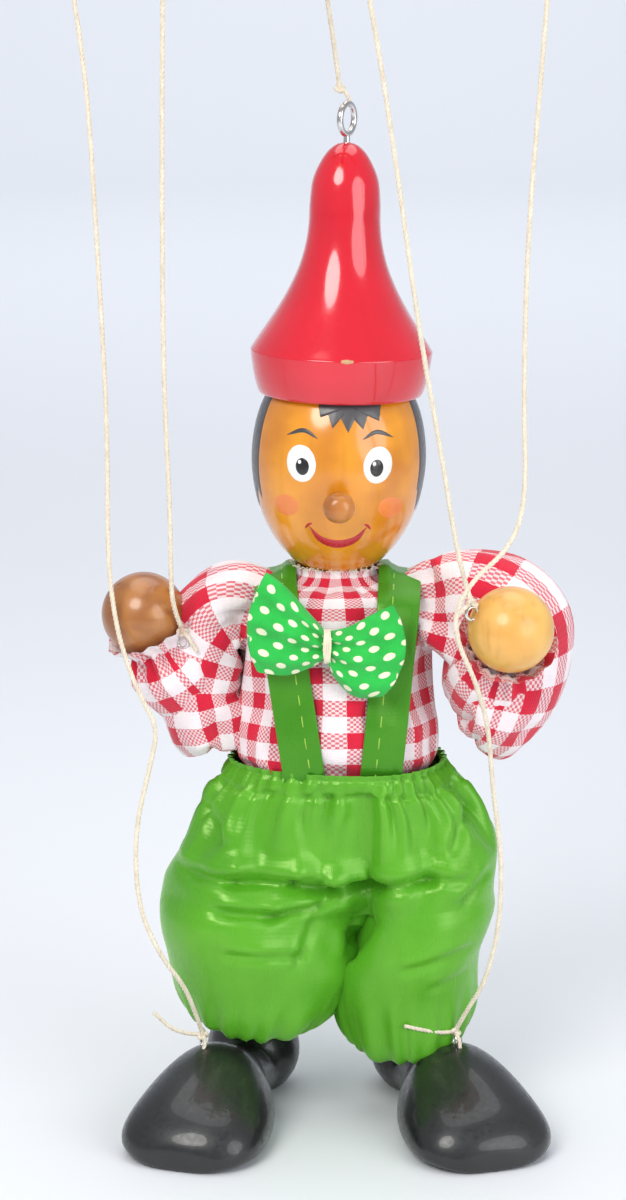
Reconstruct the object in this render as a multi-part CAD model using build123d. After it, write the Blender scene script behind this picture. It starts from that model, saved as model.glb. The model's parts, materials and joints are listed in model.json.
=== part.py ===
from build123d import *
import math
import os

# A marionette: a wooden puppet in cloth clothes that hangs by five strings from a wooden control.
# Millimetres. The puppet faces -Y, +X is its own left side, +Z is up.
# Everything is drawn with the shoe soles at Z = 0, and moved at the end so that the origin is the
# middle of the hang hole in the control's main bar.

# ---- driving dimensions ----
STRING_D = 1.2
PIN_R = 0.8
PIN_CLEARANCE = 0.05
ROD_R = 2.2
TAB_R = 2.3
TAB_THICKNESS = 2.0
TAB_GAP = 0.15
TAB_REACH = 7.5
ROD_START = 6.0
PEG_LENGTH = 9.0
CLOTH_GAP = 0.4
ARM_ROOM_R = 4.2
ARM_JOINT_ROOM_R = 4.6
LEG_ROOM_R = 6.5

HEAD_R = 20.4
HEAD_BOTTOM_Z = 132.5
HEAD_TOP_Z = 186.0
HEAD_LEAN_DEG = 1.3
HEAD_OUTLINE = [(14.6, 141.5), (20.4, 160.0), (15.6, 178.5)]
NOD_Z = 136.0
NECK_R = 3.7
NECK_CAVITY_R = 5.6
NECK_LOW_Z = 112.0
NECK_TOP_Z = 140.0
NOD_PIN_LENGTH = 16.0
NOSE_Z = 153.5
NOSE_R = 3.6
NOSE_OUT = 25.2
NOSE_NECK_R = 2.4
NOSE_NECK_LENGTH = 6.0

HAT_BOTTOM_Z = 176.3
HAT_BOTTOM_R = 18.6
HAT_RIDGE_Z = 186.7
HAT_RIDGE_R = 21.3
HAT_TOP_Z = 234.8
HAT_SPIRE = [(18.3, 191.5), (12.4, 201.5), (8.9, 211.5), (8.3, 219.0), (7.4, 227.0)]

EYE_WIRE_R = 0.75
EYE_RING_R = 3.5
HAT_EYE_SHANK = 7.4
HAT_EYE_ACROSS = (0.88, -0.47, 0)

SHOULDER_X = 25.0
SHOULDER_Z = 127.0
HAND_R = 10.0
RIGHT_ELBOW = (-29.0, 5.0, 102.5)
RIGHT_HAND = (-45.6, -3.5, 124.0)
LEFT_ELBOW = (36.5, -1.0, 105.0)
LEFT_HAND = (40.1, -24.0, 125.0)
RIGHT_HAND_EYE = (-36.2, -9.0, 118.6)
LEFT_HAND_EYE = (31.0, -27.5, 129.6)
UPPER_SLEEVE_R = 8.2
LOWER_SLEEVE_R = 9.0

HIP = (14.0, 2.0, 79.0)
KNEE = (17.0, -6.0, 53.0)
ANKLE = (19.0, 2.0, 27.0)
SHOE_TURN_DEG = 17.0
SHOE_X = 20.4
SHOE_Y = 10.5
SHOE_HEEL_R = 11.7
SHOE_HEEL_Z = 9.6
TOE_AHEAD = 36.5
TOE_Z = 4.4
TOE_HALF_SIZES = (17.2, 21.6, 16.4)
BRIDGE_AHEAD = 15.0
BRIDGE_Z = 7.0
BRIDGE_HALF_SIZES = (9.5, 16.0, 9.5)
RIGHT_SHOE_EYE = (-32.0, -15.5, 20.6)
LEFT_SHOE_EYE = (28.6, -15.5, 21.4)
SMALL_WIRE_R = 0.45
SMALL_RING_R = 1.5
KNOT_R = 1.5

TORSO_TOP_Z = 129.5
TORSO_BOTTOM_Z = 82.0
TORSO_WIDTH = 36.0
TORSO_DEPTH = 20.0
WAIST_Z = 87.0
SHIRT_TOP_Z = 132.1
SHOULDER_OPENING = (12.0, 20.0, 9.0)
SHOULDER_OPENING_X = 22.0
RIBBON_WIDTH = 10.0
RIBBON_THICKNESS = 0.6
STRAP_TOP_Z = 133.2
STRAP_X = {"right": (-7.5, -14.5), "left": (10.5, 15.0)}
BOW_CENTER = (-2.3, -22.6, 120.8)
BOW_TILT_DEG = 19.0
ELASTIC_Z = 81.5
ELASTIC_WIDTH = 4.0
TROUSER_TOP_Z = 88.0
TROUSER_SEAT_Z = 70.0
TROUSER_HEM_Z = {"right": 30.0, "left": 27.0}
TROUSER_WALL = 1.0

CONTROL_TURN_DEG = -17.0
CONTROL_X = -4.0
CONTROL_Y = -5.0
CONTROL_BOTTOM_Z = 284.0
LOW_BAR_HEIGHT = 4.0
MAIN_BAR_HEIGHT = 5.0
BAR_WIDTH = 9.0
MAIN_BAR_FRONT = 56.0
MAIN_BAR_BACK = 38.0
HAND_BAR_AT = 43.0
HAND_BAR_HALF = 26.0
LEG_BAR_AT = 13.0
LEG_BAR_HALF = 60.0
HANG_HOLE_AT = -24.0
HANG_HOLE_R = 3.0
STRING_HOLE_R = 0.9
SCREW_R = 1.5
SCREW_HEAD_R = 3.0
SCREW_LENGTH = 8.0

# Where each string runs, from its knot to the control. Each ends in its bar's hole.
RIGHT_HAND_ROUTE = [
    (-36.2, -9.6, 121.3), (-38.2, -13.5, 127.5), (-38.6, -14.8, 136.0), (-38.5, -16.8, 152.0),
    (-39.4, -20.8, 178.0), (-39.2, -26.0, 213.0), (-38.6, -31.6, 248.0), (-37.7, -38.0, 276.0),
    (-37.7, -38.0, 289.5),
]
LEFT_HAND_ROUTE = [
    (30.8, -27.6, 132.0), (28.9, -28.0, 138.0), (26.8, -28.6, 147.0), (23.4, -31.0, 167.0),
    (17.8, -36.0, 197.0), (13.4, -41.0, 227.0), (8.8, -46.4, 256.0), (4.9, -52.0, 276.0),
    (4.9, -52.0, 289.5),
]
RIGHT_FOOT_ROUTE = [
    (-32.0, -15.6, 23.0), (-33.6, -18.6, 29.5), (-36.0, -23.0, 38.0), (-41.5, -26.0, 46.5),
    (-46.8, -24.5, 58.5), (-47.4, -21.0, 76.0), (-43.6, -17.5, 91.0), (-42.0, -16.0, 99.5),
    (-45.8, -15.5, 106.5), (-48.8, -15.0, 114.0), (-51.6, -14.6, 124.0), (-53.4, -13.4, 140.0),
    (-53.0, -11.0, 170.0), (-55.0, -8.0, 212.0), (-57.0, -4.6, 249.0), (-61.3, -0.7, 276.0),
    (-61.3, -0.7, 289.5),
]
LEFT_FOOT_ROUTE = [
    (28.6, -15.9, 23.8), (31.0, -19.0, 30.0), (35.4, -23.0, 39.0), (38.4, -24.5, 53.0),
    (38.8, -24.0, 70.0), (36.2, -25.0, 88.0), (35.0, -28.5, 103.0), (31.6, -32.5, 115.0),
    (27.4, -34.5, 124.0), (26.4, -34.8, 131.0), (30.5, -32.8, 138.5), (39.5, -29.5, 145.5),
    (43.0, -27.0, 156.0), (42.0, -26.0, 180.0), (42.2, -28.4, 215.0), (44.4, -30.5, 250.0),
    (45.9, -33.5, 276.0), (45.9, -33.5, 289.5),
]
HEAD_ROUTE = [(0.6, -1.2, 247.0), (-1.4, -2.9, 262.0), (-4.0, -5.0, 277.0), (-4.0, -5.0, 294.5)]


# ---- helpers ----
def joint_plane(origin, along, across):
    """A plane at origin whose x runs along one direction and whose z lies along the other."""
    return Plane(origin=origin, x_dir=along, z_dir=across)


def rod_between(start, end, radius):
    """A round rod from one point to another."""
    way = Vector(*end) - Vector(*start)
    return Plane(origin=start, z_dir=way) * Cylinder(
        radius, way.length, align=(Align.CENTER, Align.CENTER, Align.MIN)
    )


def tab(side, hole_r):
    """A flat rounded tab with a pin hole, on one side of the joint's middle plane."""
    plate = extrude(
        Pos(TAB_REACH / 2, 0, TAB_GAP) * SlotCenterToCenter(TAB_REACH, 2 * TAB_R), TAB_THICKNESS
    )
    plate -= Cylinder(hole_r, 4 * TAB_THICKNESS)
    return plate if side > 0 else mirror(plate, Plane.XY)


def limb(start, end, axis, start_side, end_side):
    """A wooden stick with a half-lap tab at each end, turning about axis."""
    way = Vector(*end) - Vector(*start)
    length = way.length
    clear_r = PIN_R + PIN_CLEARANCE
    stick = Pos(length / 2, 0, 0) * Rot(0, 90, 0) * Cylinder(ROD_R, length - 2 * ROD_START)
    stick += tab(start_side, clear_r)
    stick += Pos(length, 0, 0) * Rot(0, 0, 180) * tab(end_side, clear_r)
    return joint_plane(start, way, axis) * stick


def tab_peg(center, toward, axis, side, anchor=None):
    """A tab that points one way, square to axis, on a peg that ends inside a wooden block."""
    way = Vector(*toward)
    way = (way - axis * axis.dot(way)).normalized()
    piece = joint_plane(center, way, axis) * tab(side, PIN_R + PIN_CLEARANCE)
    bend = Vector(*center) + way * ROD_START
    if anchor is None:
        return piece + rod_between(bend, bend + way * PEG_LENGTH, ROD_R)
    return piece + Pos(*bend) * Sphere(ROD_R + 0.2) + rod_between(bend, anchor, ROD_R)


def joint_pin(center, axis):
    """The pin through two lapped tabs."""
    pin = Cylinder(PIN_R, 2 * (TAB_GAP + TAB_THICKNESS) + 0.6)
    return Plane(origin=center, z_dir=axis) * pin


def torso_pins(points_of):
    """The two pins, right and left, that hold a pair of limbs on the torso's tabs."""
    pins = []
    for side in ("right", "left"):
        center, _, _, axis = points_of(side)
        pins.append(joint_pin(center, axis))
    return Compound(children=pins)


def screw_eye(center, toward, axis, ring_r, wire_r, shank):
    """A closed wire ring with a straight shank that points towards its wood."""
    way = Vector(*toward).normalized()
    ring = Plane(origin=center, z_dir=axis) * Torus(ring_r, wire_r)
    foot = Vector(*center) + way * (ring_r + 0.2 * wire_r)
    return ring + rod_between(foot, foot + way * shank, wire_r)


def string_tube(points):
    """A string: straight runs joined by arcs as large as the runs allow."""
    p = [Vector(*point) for point in points]
    radii = []
    for before, here, after in zip(p, p[1:], p[2:]):
        turn = (here - before).get_angle(after - here)
        shorter = min((here - before).length, (after - here).length)
        radii.append(0.45 * shorter / math.tan(math.radians(turn) / 2))
    path = FilletPolyline(*points, radius=radii)
    tube = sweep(Plane(origin=points[0], z_dir=p[1] - p[0]) * Circle(STRING_D / 2), path)
    section = math.pi * STRING_D**2 / 4
    print(
        "string", "least radius", round(min(radii), 1), "length", round(path.length, 1),
        "volume / (section x length)", round(tube.volume / (section * path.length), 4),
    )
    return tube


def stacked_ellipses(sections):
    """A smooth solid through flat ellipses: (z, half width, half depth, y of the middle)."""
    return loft([Pos(0, y, z) * Ellipse(a, b) for z, a, b, y in sections])


def unit_normal(start, middle, end):
    """The direction square to a limb's plane: turning about it swings the first stick to the second."""
    first = Vector(*middle) - Vector(*start)
    second = Vector(*end) - Vector(*middle)
    return first.cross(second).normalized()


def mirrored(point):
    """The same point on the puppet's other side."""
    x, y, z = point
    return (-x, y, z)


# ---- head ----
def leaned(piece):
    """The head and hat lean a little to the puppet's left, about the top of the neck."""
    return Pos(0, 0, NOD_Z) * Rot(0, HEAD_LEAN_DEG, 0) * Pos(0, 0, -NOD_Z) * piece


def head_egg(grow=0.0):
    bottom, top = (0, HEAD_BOTTOM_Z - grow), (0, HEAD_TOP_Z + grow)
    middle = [(r + grow, z) for r, z in HEAD_OUTLINE]
    outline = Spline([bottom, *middle, top], tangents=[(1, 0), (-1, 0)])
    face = make_face([outline, Line(top, bottom)])
    return revolve(Plane.XZ * face, Axis.Z)


def make_head():
    cavity = Pos(0, 0, NOD_Z) * Cylinder(NECK_CAVITY_R, 2 * (NECK_TOP_Z - NOD_Z) + 3)
    return head_egg() - cavity - nod_pin(PIN_R)


def nod_pin(radius):
    """The pin, or the room for it, that the head nods on."""
    return Pos(0, 0, NOD_Z) * Rot(0, 90, 0) * Cylinder(radius, NOD_PIN_LENGTH)


def make_nose():
    """A short turned knob with a peg, glued into the face."""
    knob = Pos(0, -NOSE_OUT, NOSE_Z) * Sphere(NOSE_R)
    neck = Pos(0, -HEAD_R - 1, NOSE_Z) * Rot(90, 0, 0) * Cylinder(NOSE_NECK_R, NOSE_NECK_LENGTH)
    return knob + neck - head_egg()


def make_hat():
    outline = Polyline((0, HAT_BOTTOM_Z), (HAT_BOTTOM_R, HAT_BOTTOM_Z))
    band = Spline([(HAT_BOTTOM_R, HAT_BOTTOM_Z), (20.9, 180.6), (HAT_RIDGE_R, HAT_RIDGE_Z)])
    top = (0, HAT_TOP_Z)
    spire = Spline([(HAT_RIDGE_R, HAT_RIDGE_Z), *HAT_SPIRE, top], tangents=[(-1.2, 1.6), (-1, 0)])
    face = make_face([outline, band, spire, Line(top, (0, HAT_BOTTOM_Z))])
    shell = revolve(Plane.XZ * face, Axis.Z)
    shank_hole = Pos(0, 0, HAT_TOP_Z - 6) * Cylinder(
        EYE_WIRE_R, 20, align=(Align.CENTER, Align.CENTER, Align.MIN)
    )
    return shell - head_egg() - shank_hole


def make_hat_eye():
    center = (0, 0, HAT_TOP_Z + EYE_WIRE_R + EYE_RING_R + 0.9)
    return screw_eye(center, (0, 0, -1), HAT_EYE_ACROSS, EYE_RING_R, EYE_WIRE_R, HAT_EYE_SHANK)


def make_neck():
    dowel = Pos(0, 0, NECK_LOW_Z) * Cylinder(
        NECK_R, NECK_TOP_Z - NECK_LOW_Z, align=(Align.CENTER, Align.CENTER, Align.MIN)
    )
    return dowel - leaned(nod_pin(PIN_R + PIN_CLEARANCE))


# ---- torso ----
def torso_form(grow=0.0):
    height = TORSO_TOP_Z - TORSO_BOTTOM_Z + 2 * grow
    block = Box(TORSO_WIDTH + 2 * grow, TORSO_DEPTH + 2 * grow, height)
    block = fillet(block.edges().filter_by(Axis.Z), 7)
    return Pos(0, 0, (TORSO_TOP_Z + TORSO_BOTTOM_Z) / 2) * block


def torso_pegs():
    """The four pegs with tabs that carry the arms and legs."""
    pegs = []
    for side, sign in (("right", -1), ("left", 1)):
        shoulder, _, _, arm_axis = arm_points(side)
        if side == "right":
            pegs.append(tab_peg(shoulder, (1, 0, -0.15), arm_axis, -1))
        else:
            pegs.append(tab_peg(shoulder, (-0.53, 0.85, 0), arm_axis, -1, (11, 0, SHOULDER_Z - 3)))
        hip, _, _, leg_axis = leg_points(side)
        pegs.append(tab_peg(hip, (0, 0, 1), leg_axis, -1))
    return pegs


def make_torso(pegs):
    block = torso_form()
    block -= Pos(0, 0, NECK_LOW_Z) * Cylinder(
        NECK_R + PIN_CLEARANCE, 40, align=(Align.CENTER, Align.CENTER, Align.MIN)
    )
    for peg in pegs:
        block -= peg
    return block


def shirt_form(grow=0.0):
    g = grow
    return stacked_ellipses([
        (WAIST_Z - 1 - g, 23.0 + g, 15.0 + g, 0), (98, 22.2 + g, 15.8 + g, 0),
        (124, 21.4 + g, 14.2 + g, 0), (SHIRT_TOP_Z + g, 9.5 + g, 8.0 + g, 0),
    ])


def make_shirt():
    shirt = shirt_form() - torso_form(0.1)
    shirt -= Pos(0, 0, SHIRT_TOP_Z - 5) * Cylinder(NECK_R + 0.8, 20)
    for side in ("right", "left"):
        x = SHOULDER_OPENING_X if side == "left" else -SHOULDER_OPENING_X
        shirt -= Pos(x, 0, SHOULDER_Z) * Box(*SHOULDER_OPENING)
    return shirt


def strap(x_low, x_high):
    """A ribbon up the front, over the shoulder and down the back."""
    outline = [
        (-17.0, WAIST_Z - 0.5), (-17.6, 100), (-16.6, 120), (-12.6, 129.6), (-6, STRAP_TOP_Z),
        (6, STRAP_TOP_Z), (12.6, 129.6), (16.6, 120), (17.6, 100), (17.0, WAIST_Z - 0.5),
    ]
    inner = Polyline(*outline)
    outer = offset(inner, RIBBON_THICKNESS, side=Side.LEFT, closed=True)
    lean = math.degrees(math.atan2(x_high - x_low, STRAP_TOP_Z - WAIST_Z))
    ribbon = extrude(Plane.YZ * make_face(outer.edges()), RIBBON_WIDTH / 2, both=True)
    return Pos(x_low, 0, WAIST_Z) * Rot(0, lean, 0) * Pos(0, 0, -WAIST_Z) * ribbon


def make_bow_tie():
    """Two puffed wings that meet in a pinched middle, the left one hanging lower."""
    wing = loft([
        Pos(0, 0, 0.6) * Rectangle(6.0, 4.0),
        Pos(0, 0, 8.0) * RectangleRounded(15.5, 6.5, 2),
        Pos(0, 0, 18.5) * RectangleRounded(20.0, 3.6, 1.5),
    ])
    wing = Rot(0, 90, 0) * wing
    knot = Box(3.0, 5.0, 6.0)
    bow = wing + mirror(wing, Plane.YZ) + knot
    return Pos(*BOW_CENTER) * Rot(0, BOW_TILT_DEG, 0) * bow



def make_trouser_seat():
    """The gathered top of the trousers, open above and below."""
    outer = stacked_ellipses([
        (TROUSER_SEAT_Z, 36.0, 21.5, 0), (80, 33.0, 20.0, 0), (TROUSER_TOP_Z, 26.5, 18.6, 0),
    ])
    wall = TROUSER_WALL
    inner = stacked_ellipses([
        (TROUSER_SEAT_Z - 0.5, 36.0 - wall, 21.5 - wall, 0), (80, 33.0 - wall, 20.0 - wall, 0),
        (TROUSER_TOP_Z + 0.5, 26.4 - wall, 18.6 - wall, 0),
    ])
    ribbons = strap(*STRAP_X["right"]) + strap(*STRAP_X["left"])
    return outer - inner - ribbons


def make_waist_elastic():
    ring = Ellipse(24.9, 16.6) - Ellipse(23.9, 15.8)
    return Pos(0, 0, ELASTIC_Z) * extrude(ring, ELASTIC_WIDTH)


# ---- arms ----
def arm_points(side):
    """Shoulder, elbow, hand and the axis that lifts the hand."""
    if side == "right":
        points = (-SHOULDER_X, 0, SHOULDER_Z), RIGHT_ELBOW, RIGHT_HAND
    else:
        points = (SHOULDER_X, 0, SHOULDER_Z), LEFT_ELBOW, LEFT_HAND
    return *points, unit_normal(*points)


def make_forearm(elbow, hand, axis):
    way = Vector(*hand) - Vector(*elbow)
    stick = tab(-1, PIN_R + PIN_CLEARANCE)
    stick += Pos((way.length + ROD_START) / 2 - 2, 0, 0) * Rot(0, 90, 0) * Cylinder(
        ROD_R, way.length - ROD_START - 4
    )
    return joint_plane(elbow, way, axis) * stick


def half_space(center, normal, size=160):
    """A big block on the side of a plane that the normal points to."""
    return Plane(origin=center, z_dir=normal) * Box(
        size, size, size, align=(Align.CENTER, Align.CENTER, Align.MIN)
    )


def sleeve_parts(side):
    """The upper and lower sleeve, parted at the elbow by the plane that halves its bend."""
    shoulder, elbow, hand, _ = (Vector(*p) for p in arm_points(side))
    upper_way = (shoulder - elbow).normalized()
    lower_way = (hand - elbow).normalized()
    parting = (upper_way - lower_way).normalized()
    sticks = arm_room(side)
    upper = rod_between(shoulder - upper_way * 2, elbow - upper_way * 5, UPPER_SLEEVE_R)
    upper = (upper - sticks - shirt_form(CLOTH_GAP)) & half_space(elbow + parting * 0.2, parting)
    lower = rod_between(elbow - lower_way * 4, hand - lower_way * 7.5, LOWER_SLEEVE_R)
    eye = RIGHT_HAND_EYE if side == "right" else LEFT_HAND_EYE
    lower = lower - sticks - Pos(*hand) * Sphere(HAND_R + CLOTH_GAP)
    lower -= Pos(*eye) * Sphere(SMALL_RING_R + SMALL_WIRE_R + CLOTH_GAP)
    return upper, lower & half_space(elbow - parting * 0.2, parting * -1)


def arm_room(side):
    """The space that an arm's sticks, tabs and pins need inside the sleeves."""
    shoulder, elbow, hand, _ = arm_points(side)
    room = rod_between(shoulder, elbow, ARM_ROOM_R) + rod_between(elbow, hand, ARM_ROOM_R)
    for joint in (shoulder, elbow):
        room += Pos(*joint) * Sphere(ARM_JOINT_ROOM_R)
    return room


def make_arm(side, nodes):
    shoulder, elbow, hand, axis = arm_points(side)
    nodes[f"{side}_upper_arm"] = limb(shoulder, elbow, axis, 1, 1)
    nodes[f"{side}_elbow_pin"] = joint_pin(elbow, axis)
    forearm = make_forearm(elbow, hand, axis)
    nodes[f"{side}_forearm"] = forearm
    nodes[f"{side}_hand"] = Pos(*hand) * Sphere(HAND_R) - forearm
    eye = RIGHT_HAND_EYE if side == "right" else LEFT_HAND_EYE
    inward = (Vector(*hand) - Vector(*eye)).normalized()
    across = inward.cross(Vector(0, 0, 1)).normalized()
    hand_eye = screw_eye(eye, inward, across, SMALL_RING_R, SMALL_WIRE_R, 3.4)
    nodes[f"{side}_hand_eye"] = hand_eye
    nodes[f"{side}_hand"] -= hand_eye


# ---- legs ----
def leg_points(side):
    """Hip, knee, ankle and the axis that lifts the knee."""
    points = HIP, KNEE, ANKLE
    if side == "right":
        points = [mirrored(p) for p in points]
    return *points, unit_normal(*points) * -1


def make_shoe(side):
    """A turned heel knob and a broad toe block in one piece of wood, pointing outwards."""
    heel = Pos(0, 0, SHOE_HEEL_Z) * Sphere(SHOE_HEEL_R)
    toe = Pos(0, -TOE_AHEAD, TOE_Z) * scale(Sphere(1), TOE_HALF_SIZES)
    bridge = Pos(0, -BRIDGE_AHEAD, BRIDGE_Z) * scale(Sphere(1), BRIDGE_HALF_SIZES)
    floor_cut = Pos(0, -20, 0) * Box(60, 120, 40, align=(Align.CENTER, Align.CENTER, Align.MIN))
    shoe = (heel + toe + bridge) & floor_cut
    sign = -1 if side == "right" else 1
    return Pos(sign * SHOE_X, SHOE_Y, 0) * Rot(0, 0, sign * SHOE_TURN_DEG) * shoe


def make_leg(side, nodes):
    hip, knee, ankle, axis = leg_points(side)
    nodes[f"{side}_thigh"] = limb(hip, knee, axis, 1, 1)
    nodes[f"{side}_knee_pin"] = joint_pin(knee, axis)
    nodes[f"{side}_shin"] = limb(knee, ankle, axis, -1, 1)
    nodes[f"{side}_ankle_pin"] = joint_pin(ankle, axis)
    peg = tab_peg(ankle, (0, 0, -1), axis, -1)
    eye = RIGHT_SHOE_EYE if side == "right" else LEFT_SHOE_EYE
    shoe_eye = screw_eye(eye, (0, 0, -1), (1, 0.3, 0), SMALL_RING_R, SMALL_WIRE_R, 4.5)
    nodes[f"{side}_shoe_eye"] = shoe_eye
    nodes[f"{side}_shoe"] = make_shoe(side) + peg - shoe_eye


def trouser_leg(side):
    """The upper and lower part of one puffed trouser leg, hollow round the leg."""
    sign = -1 if side == "right" else 1
    outer = loft([
        Pos(sign * 17.5, -1, 69.4) * Ellipse(16.5, 19.5),
        Pos(sign * 20.0, -3, 54) * Ellipse(18.0, 20.0),
        Pos(sign * 20.0, -2, 42) * Ellipse(16.5, 17.0),
        Pos(sign * 19.5, 0, TROUSER_HEM_Z[side]) * Ellipse(11.5, 12.5),
    ])
    hip, knee, ankle, _ = leg_points(side)
    room = rod_between(hip, knee, LEG_ROOM_R) + rod_between(knee, ankle, LEG_ROOM_R)
    room += Pos(*knee) * Sphere(LEG_ROOM_R) + Pos(*ankle) * Sphere(LEG_ROOM_R)
    room += rod_between(ankle, (ankle[0], ankle[1], SHOE_HEEL_Z), LEG_ROOM_R)
    legs = outer - room - Pos(sign * -10, 0, 50) * Box(20, 80, 90) - shoe_room(side)
    upper = legs & half_space((0, 0, knee[2] + 0.2), (0, 0, 1))
    lower = legs & half_space((0, 0, knee[2] - 0.2), (0, 0, -1))
    return upper, lower


def shoe_room(side):
    """The space round a shoe's heel that the trouser hem stays clear of."""
    sign = -1 if side == "right" else 1
    return Pos(sign * SHOE_X, SHOE_Y, SHOE_HEEL_Z) * Sphere(SHOE_HEEL_R + 1.6)


# ---- control ----
def on_control(ahead, across=0.0):
    """A point on the control, measured along the main bar and across it."""
    turn = math.radians(CONTROL_TURN_DEG)
    x = CONTROL_X + ahead * math.sin(turn) + across * math.cos(turn)
    y = CONTROL_Y - ahead * math.cos(turn) + across * math.sin(turn)
    return x, y


def bar(center, length, height, z, along_main):
    """A flat wooden slat with rounded ends."""
    slat = extrude(SlotOverall(length, BAR_WIDTH), height)
    turn = CONTROL_TURN_DEG + (90 if along_main else 0)
    return Pos(*center, z) * Rot(0, 0, turn) * slat


def string_hole(route):
    x, y, _ = route[-1]
    return Pos(x, y, CONTROL_BOTTOM_Z) * Cylinder(STRING_HOLE_R, 60)


def make_control(nodes):
    main_z = CONTROL_BOTTOM_Z + LOW_BAR_HEIGHT
    main = bar(
        on_control((MAIN_BAR_FRONT - MAIN_BAR_BACK) / 2), MAIN_BAR_FRONT + MAIN_BAR_BACK,
        MAIN_BAR_HEIGHT, main_z, True,
    )
    main -= Pos(*on_control(HANG_HOLE_AT), main_z) * Cylinder(HANG_HOLE_R, 20)
    main -= string_hole(HEAD_ROUTE)
    hand_bar = bar(on_control(HAND_BAR_AT), 2 * HAND_BAR_HALF, LOW_BAR_HEIGHT, CONTROL_BOTTOM_Z, False)
    leg_bar = bar(on_control(LEG_BAR_AT), 2 * LEG_BAR_HALF, LOW_BAR_HEIGHT, CONTROL_BOTTOM_Z, False)
    screws = []
    for ahead in (HAND_BAR_AT, LEG_BAR_AT):
        top = main_z + MAIN_BAR_HEIGHT
        head = Pos(*on_control(ahead), top) * (
            Pos(0, 0, -2.2) * Sphere(SCREW_HEAD_R + 0.7)
            & Box(20, 20, 10, align=(Align.CENTER, Align.CENTER, Align.MIN))
        )
        shank = Pos(*on_control(ahead), top - SCREW_LENGTH) * Cylinder(
            SCREW_R, SCREW_LENGTH, align=(Align.CENTER, Align.CENTER, Align.MIN)
        )
        screw = head + shank
        main -= screw
        hand_bar -= screw
        leg_bar -= screw
        screws.append(screw)
    for route in (RIGHT_HAND_ROUTE, LEFT_HAND_ROUTE):
        hand_bar -= string_hole(route)
    for route in (RIGHT_FOOT_ROUTE, LEFT_FOOT_ROUTE):
        leg_bar -= string_hole(route)
    nodes["control_main_bar"] = main
    nodes["control_hand_bar"] = hand_bar
    nodes["control_leg_bar"] = leg_bar
    nodes["control_screws"] = Compound(children=screws)


# ---- the whole puppet ----
ROUTES = {
    "right_hand": RIGHT_HAND_ROUTE,
    "left_hand": LEFT_HAND_ROUTE,
    "right_foot": RIGHT_FOOT_ROUTE,
    "left_foot": LEFT_FOOT_ROUTE,
    "head": HEAD_ROUTE,
}


def make_strings(nodes):
    """The five strings and the stopper knots on top of the bars."""
    stoppers = []
    for name, route in ROUTES.items():
        nodes[f"{name}_string"] = string_tube(route)
        stoppers.append(Pos(*route[-1]) * Sphere(KNOT_R) - nodes[f"{name}_string"])
    nodes["stopper_knots"] = Compound(children=stoppers)


def build():
    nodes = {}
    pegs = torso_pegs()
    nodes["torso_block"] = make_torso(pegs)
    nodes["shirt_body"] = make_shirt()
    nodes["limb_pegs"] = Compound(children=pegs)
    nodes["shoulder_pins"] = torso_pins(arm_points)
    nodes["hip_pins"] = torso_pins(leg_points)
    nodes["right_strap"] = strap(*STRAP_X["right"])
    nodes["left_strap"] = strap(*STRAP_X["left"])
    nodes["bow_tie"] = make_bow_tie()
    nodes["trousers_seat"] = make_trouser_seat()
    nodes["waist_elastic"] = make_waist_elastic()
    nodes["neck_dowel"] = make_neck()
    for name, make in (
        ("head", make_head), ("nod_pin", lambda: nod_pin(PIN_R)), ("nose", make_nose),
        ("hat", make_hat), ("hat_screw_eye", make_hat_eye),
    ):
        nodes[name] = leaned(make())
    for side in ("right", "left"):
        make_arm(side, nodes)
        make_leg(side, nodes)
        upper, lower = trouser_leg(side)
        nodes[f"{side}_trouser_upper"] = upper
        nodes[f"{side}_trouser_lower"] = lower
        upper, lower = sleeve_parts(side)
        nodes[f"{side}_upper_sleeve"] = upper
        nodes[f"{side}_lower_sleeve"] = lower
    make_strings(nodes)
    make_control(nodes)
    return nodes


def hang_hole():
    """The middle of the hang hole, which becomes the origin."""
    return Vector(*on_control(HANG_HOLE_AT), CONTROL_BOTTOM_Z + LOW_BAR_HEIGHT + MAIN_BAR_HEIGHT / 2)


def main():
    os.makedirs("parts", exist_ok=True)
    nodes = build()
    home = hang_hole()
    print("hang hole before the move", tuple(round(v, 3) for v in home))
    for name, solid in nodes.items():
        export_step(Pos(*(home * -1)) * solid, f"parts/{name}.step")
    print(len(nodes), "nodes")


if __name__ == "__main__":
    main()
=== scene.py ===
import json
import math
import random

import bmesh
import bpy
from mathutils import Matrix, Vector, noise
from mathutils.bvhtree import BVHTree


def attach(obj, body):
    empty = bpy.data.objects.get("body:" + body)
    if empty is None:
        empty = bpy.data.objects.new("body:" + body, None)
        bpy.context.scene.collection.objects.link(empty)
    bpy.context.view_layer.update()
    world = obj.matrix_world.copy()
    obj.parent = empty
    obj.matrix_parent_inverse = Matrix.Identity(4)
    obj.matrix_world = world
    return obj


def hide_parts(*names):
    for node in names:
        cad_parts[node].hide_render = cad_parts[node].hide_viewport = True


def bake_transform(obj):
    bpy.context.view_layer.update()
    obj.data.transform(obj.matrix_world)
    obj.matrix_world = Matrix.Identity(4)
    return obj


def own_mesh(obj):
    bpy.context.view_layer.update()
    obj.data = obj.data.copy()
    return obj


# The puppet's looks. Lengths in the helpers are millimetres over the floor, as at(x, y, z) takes them:
# the puppet faces -Y, +X is its own left side, and its soles stand at z = 0.

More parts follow.
